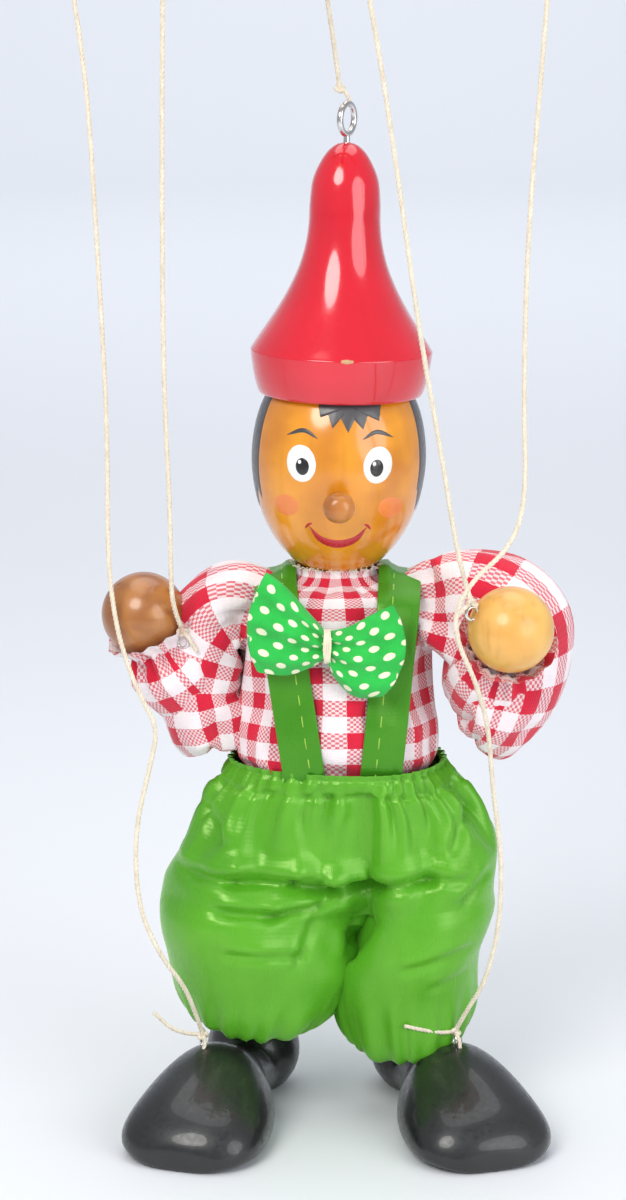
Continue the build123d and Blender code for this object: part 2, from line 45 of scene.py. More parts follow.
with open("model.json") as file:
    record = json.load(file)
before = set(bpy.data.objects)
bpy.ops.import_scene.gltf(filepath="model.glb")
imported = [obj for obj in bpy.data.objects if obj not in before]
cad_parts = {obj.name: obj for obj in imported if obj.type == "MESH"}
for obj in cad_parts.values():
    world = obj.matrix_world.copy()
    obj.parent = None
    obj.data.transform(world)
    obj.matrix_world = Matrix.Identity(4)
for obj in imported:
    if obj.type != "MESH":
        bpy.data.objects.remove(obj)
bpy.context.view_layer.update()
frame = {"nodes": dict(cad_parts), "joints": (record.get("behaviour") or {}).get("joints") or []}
joints = {joint["name"]: joint for joint in frame["joints"]}

MM = 0.001
NOD_HEIGHT = 136.0
BASE = Vector(joints["neck_turn"]["pos_m"]) - Vector((0, 0, NOD_HEIGHT * MM))


def at(x, y, z):
    """A point in the frame, from millimetres over the floor under the puppet's middle."""
    return BASE + Vector((x, y, z)) * MM


def millimetres(point):
    return (Vector(point) - BASE) / MM


def loose_piece(name, data):
    piece = bpy.data.objects.new(name, data)
    bpy.context.scene.collection.objects.link(piece)
    return piece


# ---- camera, floor and light ----
def make_camera():
    camera = bpy.data.cameras.new("camera")
    camera.sensor_width = 36.0
    camera.lens = 90.45
    camera.clip_start = 0.01
    viewer = loose_piece("camera", camera)
    viewer.location = at(-5.5, -700.0, 284.7)
    viewer.rotation_euler = (math.radians(90.0 - 12.73), 0, 0)
    bpy.context.scene.camera = viewer


def area_light(name, place, aim, size, power, colour=(1, 1, 1)):
    light = bpy.data.lights.new(name, "AREA")
    light.shape = "DISK"
    light.size = size
    light.energy = power
    light.color = colour
    lamp = loose_piece(name, light)
    lamp.location = at(*place)
    lamp.rotation_euler = (at(*aim) - lamp.location).to_track_quat("-Z", "Y").to_euler()


SWEEP_SIDE = 4500.0
SWEEP_BEND_START = 2600.0
SWEEP_BEND = 900.0


def make_studio():
    """A pale sweep with room to walk round the puppet: floor, a wide bend and a wall, with soft lights."""
    rows = [(-SWEEP_SIDE, 0), (SWEEP_BEND_START, 0)]
    steps = 16
    for k in range(1, steps + 1):
        turn = math.pi / 2 * k / steps
        rows.append((SWEEP_BEND_START + SWEEP_BEND * math.sin(turn), SWEEP_BEND * (1 - math.cos(turn))))
    rows.append((SWEEP_BEND_START + SWEEP_BEND, 2200))
    verts, faces = [], []
    for y, z in rows:
        verts += [at(-SWEEP_SIDE, y, z), at(SWEEP_SIDE, y, z)]
    for k in range(len(rows) - 1):
        faces.append((2 * k, 2 * k + 1, 2 * k + 3, 2 * k + 2))
    mesh = bpy.data.meshes.new("sweep")
    mesh.from_pydata([tuple(v) for v in verts], [], faces)
    mesh.polygons.foreach_set("use_smooth", [True] * len(faces))
    sweep = loose_piece("sweep", mesh)
    tree, shader = new_material("sweep")
    settle(shader, Base_Color=(0.80, 0.815, 0.84, 1), Roughness=0.7)
    mesh.materials.append(LOOKS["sweep"])
    area_light("key", (-350, -650, 700), (0, 0, 130), 0.5, 5.0, (1.0, 0.98, 0.95))
    area_light("fill", (520, -520, 330), (0, 0, 120), 0.6, 2.6, (0.95, 0.98, 1.0))
    area_light("top", (0, 120, 800), (0, 0, 0), 0.8, 2.8)
    area_light("backdrop", (0, 1400, 2200), (0, 4000, 600), 2.2, 42.0, (0.95, 0.97, 1.0))
    world = bpy.data.worlds.new("world")
    world.use_nodes = True
    background = world.node_tree.nodes["Background"]
    background.inputs["Color"].default_value = (0.86, 0.90, 1.0, 1)
    background.inputs["Strength"].default_value = 0.5
    bpy.context.scene.world = world
    bpy.context.scene.view_settings.view_transform = "Standard"


# ---- node helpers ----
LOOKS = {}


def new_material(name):
    material = bpy.data.materials.new(f"{name}_look")
    material.use_nodes = True
    LOOKS[name] = material
    return material.node_tree, material.node_tree.nodes["Principled BSDF"]


def node(tree, kind, inputs=(), **settings):
    """A new node with its settings, and its inputs set to values or joined to sockets."""
    made = tree.nodes.new(kind)
    for key, value in settings.items():
        setattr(made, key, value)
    for key, value in dict(inputs).items():
        if isinstance(value, bpy.types.NodeSocket):
            tree.links.new(value, made.inputs[key])
        else:
            made.inputs[key].default_value = value
    return made


def calc(tree, operation, *values):
    return node(tree, "ShaderNodeMath", dict(enumerate(values)), operation=operation).outputs[0]


def times(tree, *values):
    return calc(tree, "MULTIPLY", *values)


def plus(tree, *values):
    return calc(tree, "ADD", *values)


def settle(shader, **values):
    """Sets sockets that are the same all over: Coat_Weight=0.3 sets the socket Coat Weight."""
    for name, value in values.items():
        shader.inputs[name.replace("_", " ")].default_value = value


def join(tree, value, shader, name):
    tree.links.new(value, shader.inputs[name])


def mix(tree, share, first, second):
    """The first colour where share is 0, the second where it is 1."""
    made = node(tree, "ShaderNodeMix", data_type="RGBA")
    for key, value in (("Factor", share), ("A", first), ("B", second)):
        kind = "VALUE" if key == "Factor" else "RGBA"
        socket = next(s for s in made.inputs if s.name == key and s.type == kind)
        if isinstance(value, bpy.types.NodeSocket):
            tree.links.new(value, socket)
        else:
            socket.default_value = value if key == "Factor" else (*value, 1.0)
    return next(s for s in made.outputs if s.type == "RGBA")


def ramp(tree, value, low, high, from_value=0.0, to_value=1.0):
    """A value stretched from low..high to from_value..to_value, and held there."""
    return node(
        tree, "ShaderNodeMapRange",
        {"Value": value, "From Min": low, "From Max": high, "To Min": from_value, "To Max": to_value},
    ).outputs[0]


def noise_at(tree, scale, detail=3.0, stretch=(1, 1, 1), where=None, roughness=0.5):
    if where is None:
        where = node(tree, "ShaderNodeTexCoord").outputs["Object"]
    spread = node(tree, "ShaderNodeMapping", {"Vector": where, "Scale": stretch}).outputs[0]
    return node(
        tree, "ShaderNodeTexNoise",
        {"Vector": spread, "Scale": scale, "Detail": detail, "Roughness": roughness},
    ).outputs["Fac"]


def bump(tree, shader, height, distance, strength=1.0):
    made = node(tree, "ShaderNodeBump", {"Height": height, "Distance": distance, "Strength": strength})
    join(tree, made.outputs[0], shader, "Normal")


def uv_parts(tree):
    """The two UV lengths, in millimetres."""
    uv = node(tree, "ShaderNodeUVMap", uv_map="cloth").outputs[0]
    parts = node(tree, "ShaderNodeSeparateXYZ", {0: uv})
    return times(tree, parts.outputs[0], 1000.0), times(tree, parts.outputs[1], 1000.0)


# ---- materials ----
def wood(name, light, dark, roughness, coat, stretch, ring_scale, ring_share=0.55, speck=0.25):
    """Turned wood under a varnish: broad bands, fine pores along the grain and a worn gloss."""
    tree, shader = new_material(name)
    where = node(tree, "ShaderNodeTexCoord").outputs["Object"]
    warp = noise_at(tree, 35.0, 2.0, (1, 1, 1), where)
    spread = node(tree, "ShaderNodeMapping", {"Vector": where, "Scale": stretch}).outputs[0]
    bands = node(
        tree, "ShaderNodeTexWave",
        {"Vector": spread, "Scale": ring_scale, "Distortion": 6.0, "Detail": 2.5, "Detail Scale": 1.4},
        bands_direction="X",
    ).outputs["Fac"]
    pores = noise_at(tree, 420.0, 2.0, (1, 1, 0.08), where)
    blotch = noise_at(tree, 70.0, 3.0, (1, 1, 0.5), where)
    share = times(tree, bands, ring_share)
    share = plus(tree, share, times(tree, ramp(tree, blotch, 0.35, 0.7), 0.45))
    share = times(tree, share, ramp(tree, warp, 0.25, 0.75, 0.6, 1.2))
    colour = mix(tree, share, light, dark)
    deep = tuple(0.45 * c for c in dark)
    colour = mix(tree, times(tree, ramp(tree, pores, 0.56, 0.75), speck), colour, deep)
    join(tree, colour, shader, "Base Color")
    join(tree, ramp(tree, blotch, 0.2, 0.8, roughness * 0.8, roughness * 1.3), shader, "Roughness")
    settle(shader, Coat_Weight=coat, Coat_Roughness=0.12)
    height = plus(tree, times(tree, bands, 0.4), times(tree, pores, 0.6))
    bump(tree, shader, height, 0.00005, 0.5)


def enamel(name, colour, shade, roughness, coat, wave=0.00012, scuff=(0.5, 0.4, 0.3), scuff_share=0.0):
    """Brushed-on paint over wood: a slightly wavy gloss, faint tone changes and small scuffs."""
    tree, shader = new_material(name)
    broad = noise_at(tree, 60.0, 2.0)
    fine = noise_at(tree, 900.0, 3.0)
    tone = mix(tree, ramp(tree, broad, 0.3, 0.7), colour, shade)
    nicks = ramp(tree, noise_at(tree, 330.0, 4.0, roughness=0.7), 0.71, 0.75)
    tone = mix(tree, times(tree, nicks, scuff_share), tone, scuff)
    join(tree, tone, shader, "Base Color")
    join(tree, ramp(tree, fine, 0.3, 0.8, roughness * 0.8, roughness * 1.5), shader, "Roughness")
    settle(shader, Coat_Weight=coat, Coat_Roughness=0.06)
    height = plus(tree, broad, times(tree, fine, 0.12))
    bump(tree, shader, height, wave, 0.6)


def metal(name, colour, roughness):
    tree, shader = new_material(name)
    haze = noise_at(tree, 700.0, 4.0)
    worn = tuple(0.72 * c for c in colour)
    join(tree, mix(tree, ramp(tree, haze, 0.35, 0.75), colour, worn), shader, "Base Color")
    settle(shader, Metallic=1.0)
    join(tree, ramp(tree, haze, 0.3, 0.8, roughness, roughness * 2.2), shader, "Roughness")
    bump(tree, shader, haze, 0.00003, 0.4)


CHECK_MM = 3.9
YARN_MM = 0.56
DOT_PITCH_MM = 5.4
DOT_INNER_MM, DOT_OUTER_MM = 0.8, 0.98  # a dot's full colour, its edge


def weave_parts(tree, u, v, pitch):
    """Plain weave: which yarn lies on top (0 or 1), and the rounded height of the yarns."""
    a = calc(tree, "DIVIDE", u, pitch)
    b = calc(tree, "DIVIDE", v, pitch)
    odd = plus(tree, calc(tree, "FLOOR", a), calc(tree, "FLOOR", b))
    top = calc(tree, "ABSOLUTE", calc(tree, "MODULO", odd, 2.0))
    round_a = calc(tree, "ABSOLUTE", calc(tree, "SINE", times(tree, a, math.pi)))
    round_b = calc(tree, "ABSOLUTE", calc(tree, "SINE", times(tree, b, math.pi)))
    return top, times(tree, round_a, round_b)


def gingham(name):
    tree, shader = new_material(name)
    u, v = uv_parts(tree)
    wobble = times(tree, calc(tree, "SUBTRACT", noise_at(tree, 120.0), 0.5), 0.5)
    u, v = plus(tree, u, wobble), plus(tree, v, wobble)
    stripes = []
    for along in (u, v):
        share = calc(tree, "FRACT", calc(tree, "DIVIDE", along, 2 * CHECK_MM))
        stripes.append(calc(tree, "GREATER_THAN", share, 0.5))
    top, height = weave_parts(tree, u, v, YARN_MM)
    warp_share = times(tree, stripes[0], top)
    weft_share = times(tree, stripes[1], calc(tree, "SUBTRACT", 1.0, top))
    red_share = plus(tree, warp_share, weft_share)
    both = times(tree, stripes[0], stripes[1])
    average = times(tree, plus(tree, stripes[0], stripes[1]), 0.5)
    red_share = plus(tree, times(tree, red_share, 0.62), times(tree, average, 0.38))
    red_share = calc(tree, "MAXIMUM", red_share, both)
    fade = noise_at(tree, 160.0, 4.0)
    red = mix(tree, ramp(tree, fade, 0.3, 0.7), (0.72, 0.012, 0.045), (0.58, 0.01, 0.035))
    white = mix(tree, ramp(tree, fade, 0.3, 0.7), (0.93, 0.86, 0.86), (0.86, 0.74, 0.76))
    join(tree, mix(tree, red_share, white, red), shader, "Base Color")
    settle(shader, Roughness=0.85, Sheen_Weight=0.25, Sheen_Roughness=0.5, Specular_IOR_Level=0.25)
    bump(tree, shader, height, 0.00009, 0.7)


def satin(name, colour, shade, gloss, pitch=0.34, rough=0.34):
    """Satin: a smooth glossy face with very fine threads and a soft edge sheen."""
    tree, shader = new_material(name)
    u, v = uv_parts(tree)
    _, height = weave_parts(tree, u, times(tree, v, 0.35), pitch)
    slub = noise_at(tree, 260.0, 3.0, (1, 1, 0.2))
    broad = noise_at(tree, 45.0, 3.0)
    tone = mix(tree, ramp(tree, broad, 0.3, 0.7), colour, shade)
    tone = mix(tree, times(tree, ramp(tree, slub, 0.4, 0.8), 0.25), tone, shade)
    join(tree, tone, shader, "Base Color")
    join(tree, ramp(tree, slub, 0.3, 0.8, rough * 0.85, rough * 1.25), shader, "Roughness")
    settle(shader, Sheen_Weight=0.45, Sheen_Roughness=0.35, Sheen_Tint=(*gloss, 1),
        Specular_IOR_Level=0.75, Specular_Tint=(*[min(1.0, 1.6 * c + 0.25) for c in gloss], 1))
    bump(tree, shader, plus(tree, height, slub), 0.00005, 0.35)


def dotted_cotton(name):
    """Green cotton printed with cream dots in a staggered pattern."""
    tree, shader = new_material(name)
    u, v = uv_parts(tree)
    wobble = times(tree, calc(tree, "SUBTRACT", noise_at(tree, 300.0), 0.5), 0.7)
    dots = 0.0
    for shift in (0.0, 0.5):
        across = plus(tree, calc(tree, "DIVIDE", u, DOT_PITCH_MM), shift)
        up = plus(tree, calc(tree, "DIVIDE", v, DOT_PITCH_MM), shift)
        x = times(tree, calc(tree, "SUBTRACT", calc(tree, "FRACT", across), 0.5), DOT_PITCH_MM)
        y = times(tree, calc(tree, "SUBTRACT", calc(tree, "FRACT", up), 0.5), DOT_PITCH_MM)
        away = calc(tree, "SQRT", plus(tree, calc(tree, "POWER", x, 2.0), calc(tree, "POWER", y, 2.0)))
        away = plus(tree, away, wobble)
        dots = calc(tree, "MAXIMUM", ramp(tree, away, DOT_INNER_MM, DOT_OUTER_MM, 1.0, 0.0), dots)
    _, height = weave_parts(tree, u, v, 0.42)
    fade = ramp(tree, noise_at(tree, 200.0, 3.0), 0.3, 0.7)
    green = mix(tree, fade, (0.022, 0.52, 0.065), (0.014, 0.40, 0.045))
    # painted highlight: the green is lightened on the raised yarn crowns, by the weave's height
    green = mix(tree, times(tree, height, 0.25), green, (0.06, 0.66, 0.14))
    cream = mix(tree, fade, (0.92, 0.90, 0.68), (0.84, 0.84, 0.55))
    join(tree, mix(tree, dots, green, cream), shader, "Base Color")
    settle(shader, Roughness=0.8, Sheen_Weight=0.2, Specular_IOR_Level=0.3)
    bump(tree, shader, height, 0.00006, 0.7)


def yarn(name, colour, shade, fuzz=0.3):
    """Twisted cotton: matt, with fine fibres along it."""
    tree, shader = new_material(name)
    fibre = noise_at(tree, 1500.0, 3.0, (1, 1, 0.25))
    soil = noise_at(tree, 110.0, 2.0)
    tone = mix(tree, ramp(tree, fibre, 0.3, 0.75), colour, shade)
    tone = mix(tree, times(tree, ramp(tree, soil, 0.5, 0.8), 0.35), tone, shade)
    join(tree, tone, shader, "Base Color")
    settle(shader, Roughness=0.8, Sheen_Weight=fuzz)
    bump(tree, shader, fibre, 0.00006, 0.6)


def make_materials():
    wood("head_wood", (0.86, 0.34, 0.014), (0.50, 0.14, 0.008), 0.2, 0.75, (1, 1, 3.2), 22.0, 0.35, 0.12)
    wood("right_hand_wood", (0.47, 0.19, 0.045), (0.25, 0.075, 0.016), 0.32, 0.45, (1, 1, 5), 30.0, 0.6)
    wood("left_hand_wood", (0.86, 0.50, 0.125), (0.70, 0.30, 0.05), 0.36, 0.35, (1, 1, 4), 22.0, 0.4)
    wood("nose_wood", (0.58, 0.21, 0.03), (0.36, 0.11, 0.015), 0.3, 0.5, (1, 3, 1), 30.0, 0.6)
    # painted shade: the neck dowel's wood is near black-brown, the shadow under the chin painted into its
    # colour
    wood("dark_wood", (0.13, 0.04, 0.015), (0.06, 0.018, 0.008), 0.45, 0.2, (1, 1, 2), 40.0)
    wood("bare_wood", (0.68, 0.45, 0.24), (0.50, 0.30, 0.14), 0.6, 0.0, (1, 1, 0.4), 45.0)
    wood("control_wood", (0.64, 0.40, 0.19), (0.42, 0.23, 0.09), 0.5, 0.1, (1, 0.3, 1), 55.0)
    enamel("red_paint", (0.70, 0.003, 0.020), (0.60, 0.002, 0.014), 0.16, 0.9, 0.00010)
    enamel(
        "black_paint", (0.010, 0.011, 0.011), (0.018, 0.018, 0.017), 0.34, 0.35, 0.00025,
        (0.07, 0.06, 0.05), 0.5,
    )
    enamel(
        "hair_paint", (0.055, 0.052, 0.055), (0.09, 0.085, 0.085), 0.35, 0.3, 0.00006,
        (0.5, 0.25, 0.05), 0.5,
    )
    enamel("white_paint", (0.86, 0.87, 0.83), (0.80, 0.80, 0.74), 0.25, 0.5, 0.00004)
    enamel("eye_paint", (0.012, 0.011, 0.010), (0.02, 0.018, 0.016), 0.2, 0.6, 0.00004)
    enamel("lip_paint", (0.56, 0.012, 0.03), (0.46, 0.008, 0.02), 0.28, 0.4, 0.00004)
    enamel("cheek_paint", (0.86, 0.26, 0.06), (0.80, 0.22, 0.045), 0.3, 0.5, 0.00004)
    metal("nickel", (0.78, 0.76, 0.73), 0.14)
    gingham("gingham")
    satin("green_satin", (0.115, 0.42, 0.022), (0.08, 0.34, 0.016), (0.33, 0.72, 0.12), rough=0.26)
    satin("green_ribbon", (0.055, 0.27, 0.014), (0.042, 0.22, 0.010), (0.22, 0.56, 0.05), 0.30, 0.30)
    dotted_cotton("dotted_cotton")
    yarn("string", (0.86, 0.78, 0.62), (0.66, 0.56, 0.42))
    yarn("thread", (0.90, 0.84, 0.66), (0.74, 0.66, 0.46))
    yarn("stitch", (0.36, 0.66, 0.05), (0.26, 0.50, 0.04))


# ---- mesh helpers ----
def add_piece(name, mesh, material, body, replaces=()):
    """A mesh as a piece of the puppet, with its material, body and the CAD nodes it stands for."""
    piece = loose_piece(name, mesh)
    mesh.materials.append(LOOKS[material])
    if body:
        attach(piece, body)
    if replaces:
        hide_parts(*replaces)
    return piece


def mesh_of(name, verts, faces, corner_uvs=None):
    mesh = bpy.data.meshes.new(name)
    mesh.from_pydata([tuple(v) for v in verts], [], faces)
    mesh.polygons.foreach_set("use_smooth", [True] * len(mesh.polygons))
    if corner_uvs:
        layer = mesh.uv_layers.new(name="cloth")
        layer.data.foreach_set("uv", [value for uv in corner_uvs for value in uv])
    mesh.validate()
    return mesh


def ring_mesh(name, rings, uvs=None, closed=True, caps=(False, False)):
    """A mesh through rings of points. uvs has a (u, v) for each point, and one more where a ring closes."""
    count = len(rings[0])
    verts = [point for ring in rings for point in ring]
    faces, corners = [], []
    across = count if closed else count - 1
    for i in range(len(rings) - 1):
        for j in range(across):
            k = (j + 1) % count
            faces.append((i * count + j, i * count + k, (i + 1) * count + k, (i + 1) * count + j))
            if uvs:
                corners += [uvs[i][j], uvs[i][j + 1], uvs[i + 1][j + 1], uvs[i + 1][j]]
    for end, cap in ((0, caps[0]), (len(rings) - 1, caps[1])):
        if cap:
            loop = [end * count + j for j in range(count)]
            faces.append(tuple(loop if end else reversed(loop)))
            if uvs:
                order = range(count) if end else reversed(range(count))
                corners += [uvs[end][j] for j in order]
    return mesh_of(name, verts, faces, corners)


def smooth_line(points, steps):
    """Points along a smooth curve through the given ones (Catmull-Rom)."""
    p = [Vector(point) for point in points]
    p = [2 * p[0] - p[1], *p, 2 * p[-1] - p[-2]]
    out = []
    for k in range(1, len(p) - 2):
        for i in range(steps):
            t = i / steps
            a, b, c, d = p[k - 1], p[k], p[k + 1], p[k + 2]
            square, cube = 2 * a - 5 * b + 4 * c - d, 3 * b - a - 3 * c + d
            out.append(0.5 * ((2 * b) + (c - a) * t + square * t**2 + cube * t**3))
    out.append(p[-2])
    return out


def lathe(name, profile, count=96, steps=4):
    """A turned shape about the upright axis, through (radius, height) points in millimetres."""
    line = smooth_line([(r, 0, z) for r, z in profile], steps)
    rings = []
    for point in line:
        r, z = max(point.x, 0.02), point.z
        rings.append([at(r * math.cos(t), r * math.sin(t), z) for t in turns(count)])
    return ring_mesh(name, rings, caps=(True, True))


def turns(count):
    return [2 * math.pi * k / count for k in range(count)]


def tube(name, line, radius, count=10, closed=False):
    """A round tube along points in the frame; radius may be a number or a function of the share along."""
    rings = []
    normal = None
    for k, point in enumerate(line):
        before, after = line[max(k - 1, 0)], line[min(k + 1, len(line) - 1)]
        if closed:
            before, after = line[k - 1], line[(k + 1) % len(line)]
        way = (after - before).normalized()
        if normal is None:
            normal = way.orthogonal().normalized()
        normal = (normal - way * normal.dot(way)).normalized()
        side = way.cross(normal)
        r = radius(k / max(len(line) - 1, 1)) if callable(radius) else radius
        rings.append([point + (normal * math.cos(t) + side * math.sin(t)) * r for t in turns(count)])
    if closed:
        rings.append(rings[0])
    mesh = ring_mesh(name, rings, caps=(not closed, not closed))
    if closed:
        weld(mesh, 1e-7)
    return mesh


def weld(mesh, distance):
    work = bmesh.new()
    work.from_mesh(mesh)
    bmesh.ops.remove_doubles(work, verts=work.verts, dist=distance)
    work.to_mesh(mesh)
    work.free()


def join_meshes(name, meshes):
    """One mesh from several, which are removed."""
    work = bmesh.new()
    for mesh in meshes:
        work.from_mesh(mesh)
    joined = bpy.data.meshes.new(name)
    work.to_mesh(joined)
    work.free()
    joined.polygons.foreach_set("use_smooth", [True] * len(joined.polygons))
    for mesh in meshes:
        bpy.data.meshes.remove(mesh)
    return joined


def finish_mesh(piece):
    """Applies the piece's modifiers to its mesh."""
    sight = bpy.context.evaluated_depsgraph_get()
    made = bpy.data.meshes.new_from_object(piece.evaluated_get(sight), depsgraph=sight)
    made.name = piece.data.name + "_done"
    piece.modifiers.clear()
    piece.data = made
    return piece


def subdivide(piece):
    modifier = piece.modifiers.new("subdivision", "SUBSURF")
    modifier.levels = modifier.render_levels = 1
    return finish_mesh(piece)


# ---- strings ----
STRING_R = 0.6 * MM
ROUTES = {
    "right_hand": [
        (-0.0362, -0.0096, 0.1213), (-0.0382, -0.0135, 0.1275), (-0.0386, -0.0148, 0.1360),
        (-0.0385, -0.0168, 0.1520), (-0.0394, -0.0208, 0.1780), (-0.0392, -0.0260, 0.2130),
        (-0.0386, -0.0316, 0.2480), (-0.0377, -0.0380, 0.2760), (-0.0377, -0.0380, 0.2895),
    ],
    "left_hand": [
        (0.0308, -0.0276, 0.1320), (0.0289, -0.0280, 0.1380), (0.0268, -0.0286, 0.1470),
        (0.0234, -0.0310, 0.1670), (0.0178, -0.0360, 0.1970), (0.0134, -0.0410, 0.2270),
        (0.0088, -0.0464, 0.2560), (0.0049, -0.0520, 0.2760), (0.0049, -0.0520, 0.2895),
    ],
    "right_foot": [
        (-0.0320, -0.0156, 0.0230), (-0.0336, -0.0186, 0.0295), (-0.0360, -0.0230, 0.0380),
        (-0.0415, -0.0260, 0.0465), (-0.0468, -0.0245, 0.0585), (-0.0474, -0.0210, 0.0760),
        (-0.0436, -0.0175, 0.0910), (-0.0420, -0.0160, 0.0995), (-0.0458, -0.0155, 0.1065),
        (-0.0488, -0.0150, 0.1140), (-0.0516, -0.0146, 0.1240), (-0.0534, -0.0134, 0.1400),
        (-0.0530, -0.0110, 0.1700), (-0.0550, -0.0080, 0.2120), (-0.0570, -0.0046, 0.2490),
        (-0.0613, -0.0007, 0.2760), (-0.0613, -0.0007, 0.2895),
    ],
    "left_foot": [
        (0.0286, -0.0159, 0.0238), (0.0310, -0.0190, 0.0300), (0.0354, -0.0230, 0.0390),
        (0.0384, -0.0245, 0.0530), (0.0388, -0.0240, 0.0700), (0.0362, -0.0250, 0.0880),
        (0.0350, -0.0285, 0.1030), (0.0316, -0.0325, 0.1150), (0.0274, -0.0345, 0.1240),
        (0.0264, -0.0348, 0.1310), (0.0305, -0.0328, 0.1385), (0.0395, -0.0295, 0.1455),
        (0.0430, -0.0270, 0.1560), (0.0420, -0.0260, 0.1800), (0.0422, -0.0284, 0.2150),
        (0.0444, -0.0305, 0.2500), (0.0459, -0.0335, 0.2760), (0.0459, -0.0335, 0.2895),
    ],
    "head": [
        (0.0006, -0.0012, 0.2470), (-0.0014, -0.0029, 0.2620), (-0.0040, -0.0050, 0.2770),
        (-0.0040, -0.0050, 0.2945),
    ],
}


def nurbs_line(name, route, resolution=24):
    """The smooth line of a route: a NURBS spline with the route's points as its control points."""
    curve = bpy.data.curves.new(name, "CURVE")
    curve.dimensions = "3D"
    curve.resolution_u = resolution
    spline = curve.splines.new("NURBS")
    spline.points.add(len(route) - 1)
    for control, point in zip(spline.points, route):
        control.co = (*(BASE + Vector(point)), 1.0)
    spline.order_u = 3
    spline.use_endpoint_u = True
    holder = loose_piece(name, curve)
    sight = bpy.context.evaluated_depsgraph_get()
    mesh = bpy.data.meshes.new_from_object(holder.evaluated_get(sight), depsgraph=sight)
    line = [vertex.co.copy() for vertex in mesh.vertices]
    bpy.data.objects.remove(holder)
    bpy.data.curves.remove(curve)
    bpy.data.meshes.remove(mesh)
    return line


def even_points(line, step):
    """The same line with points a step apart."""
    out, spare = [line[0].copy()], step
    for a, b in zip(line, line[1:]):
        length = (b - a).length
        while spare <= length:
            out.append(a.lerp(b, spare / length))
            spare += step
        spare -= length
    if (out[-1] - line[-1]).length > 0.3 * step:
        out.append(line[-1].copy())
    return out


def twisted_cord(name, line, radius=STRING_R, strands=3, pitch=3.4 * MM, sides=8, step=0.30 * MM):
    """Strands twisted round a line, as one mesh."""
    path = even_points(line, step)
    strand_r = radius * 0.56
    offset_r = radius - strand_r
    normal = None
    centres = [[] for _ in range(strands)]
    for k, point in enumerate(path):
        way = (path[min(k + 1, len(path) - 1)] - path[max(k - 1, 0)]).normalized()
        normal = way.orthogonal().normalized() if normal is None else normal
        normal = (normal - way * normal.dot(way)).normalized()
        side = way.cross(normal)
        for s in range(strands):
            turn = 2 * math.pi * (s / strands + k * step / pitch)
            centres[s].append(point + (normal * math.cos(turn) + side * math.sin(turn)) * offset_r)
    parts = [tube(f"{name}_{s}", centre, strand_r, sides) for s, centre in enumerate(centres)]
    return join_meshes(name, parts)


def knot_mesh(name, centre, size, turn):
    """A tight overhand knot: a thick cord that winds round itself."""
    line = []
    for k in range(73):
        t = 2 * math.pi * k / 72
        x = math.sin(t) + 2 * math.sin(2 * t)
        y = math.cos(t) - 2 * math.cos(2 * t)
        z = -1.1 * math.sin(3 * t)
        line.append(Vector((x, y, z)) * (size / 3.0))
    spin = Matrix.Rotation(turn, 3, "Z") @ Matrix.Rotation(1.1 + turn, 3, "X")
    line = [centre + spin @ point for point in line[:-1]]
    return tube(name, line, size * 0.42, 8, closed=True)


STRING_END = {
    # the joint that lifts the limb, the body that the string's lower end is tied to
    "right_hand": ("right_shoulder", "right_forearm"),
    "left_hand": ("left_shoulder", "left_forearm"),
    "right_foot": ("right_hip", "right_shoe"),
    "left_foot": ("left_hip", "left_shoe"),
}
TAILS = {
    # the cut ends at each knot, from the knot on
    "right_hand": [[(1.6, -1.4, -1.6), (3.4, -1.0, -4.8)]],
    "left_hand": [[(-1.8, -1.2, -1.0), (-3.6, -0.4, -3.4)]],
    "right_foot": [
        [(-3.5, -1.0, 0.6), (-7.5, -2.0, 2.4), (-11.6, -2.4, 6.4)], [(0.6, -1.8, -1.2), (0.2, -2.4, -3.0)],
    ],
    "left_foot": [
        [(-3.6, -1.6, 0.4), (-8.0, -3.0, 1.6), (-12.2, -3.6, 2.8)], [(1.0, -1.6, -1.6), (1.2, -2.2, -4.0)],
    ],
    "head": [[(1.4, -1.0, -1.0), (2.2, -1.4, -2.8)]],
}


def lifted_end(name, end):
    """Where a string's lower end goes as its limb reaches its limit, with the joints that move it."""
    side, limb = name.split("_")
    chain = ("shoulder", "elbow") if limb == "hand" else ("hip", "knee", "ankle")
    point = end.copy()
    for joint in reversed(chain):
        about = joints[f"{side}_{joint}"]
        low, high = about["range_deg"]
        turn = math.radians(high if abs(high) > abs(low) else low)
        pivot = Vector(about["pos_m"])
        point = pivot + Matrix.Rotation(turn, 3, Vector(about["axis"])) @ (point - pivot)
    return point


def make_string(name):
    line = nurbs_line(name, ROUTES[name])
    start, top = line[0], line[-1]
    end_body = "head" if name == "head" else STRING_END[name][1]
    piece = add_piece(
        f"{name}_string_twisted", twisted_cord(f"{name}_string_twisted", line), "string",
        "torso" if name != "head" else None, [f"{name}_string"],
    )
    if name == "head":
        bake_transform(piece)
    else:
        moved = lifted_end(name, start) - start
        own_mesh(piece)
    knot = knot_mesh(f"{name}_knot", start, 1.15 * MM, len(name))
    extras = [add_piece(f"{name}_knot", knot, "string", end_body)]
    for k, tail in enumerate(TAILS[name]):
        tail_line = smooth_line([start + Vector(p) * MM for p in [(0, 0, 0), *tail]], 10)
        tail_mesh = twisted_cord(f"{name}_tail_{k}", tail_line, 0.52 * MM, 3, 3.0 * MM, 6)
        extras.append(add_piece(f"{name}_tail_{k}", tail_mesh, "string", end_body))
    extras.append(add_piece(
        f"{name}_stopper", knot_mesh(f"{name}_stopper", top, 1.2 * MM, 0.4), "string", "torso",
        ["stopper_knots"] if name == "head" else [],
    ))


make_camera()
make_studio()
make_materials()
for string_name in ROUTES:
    make_string(string_name)


# ---- head and hat ----
def leaned(mesh):
    """The head and hat lean a little to the puppet's left, about the top of the neck."""
    pivot = Matrix.Translation(at(0, 0, NOD_HEIGHT))
    mesh.transform(pivot @ Matrix.Rotation(math.radians(1.3), 4, "Y") @ pivot.inverted())
    return mesh


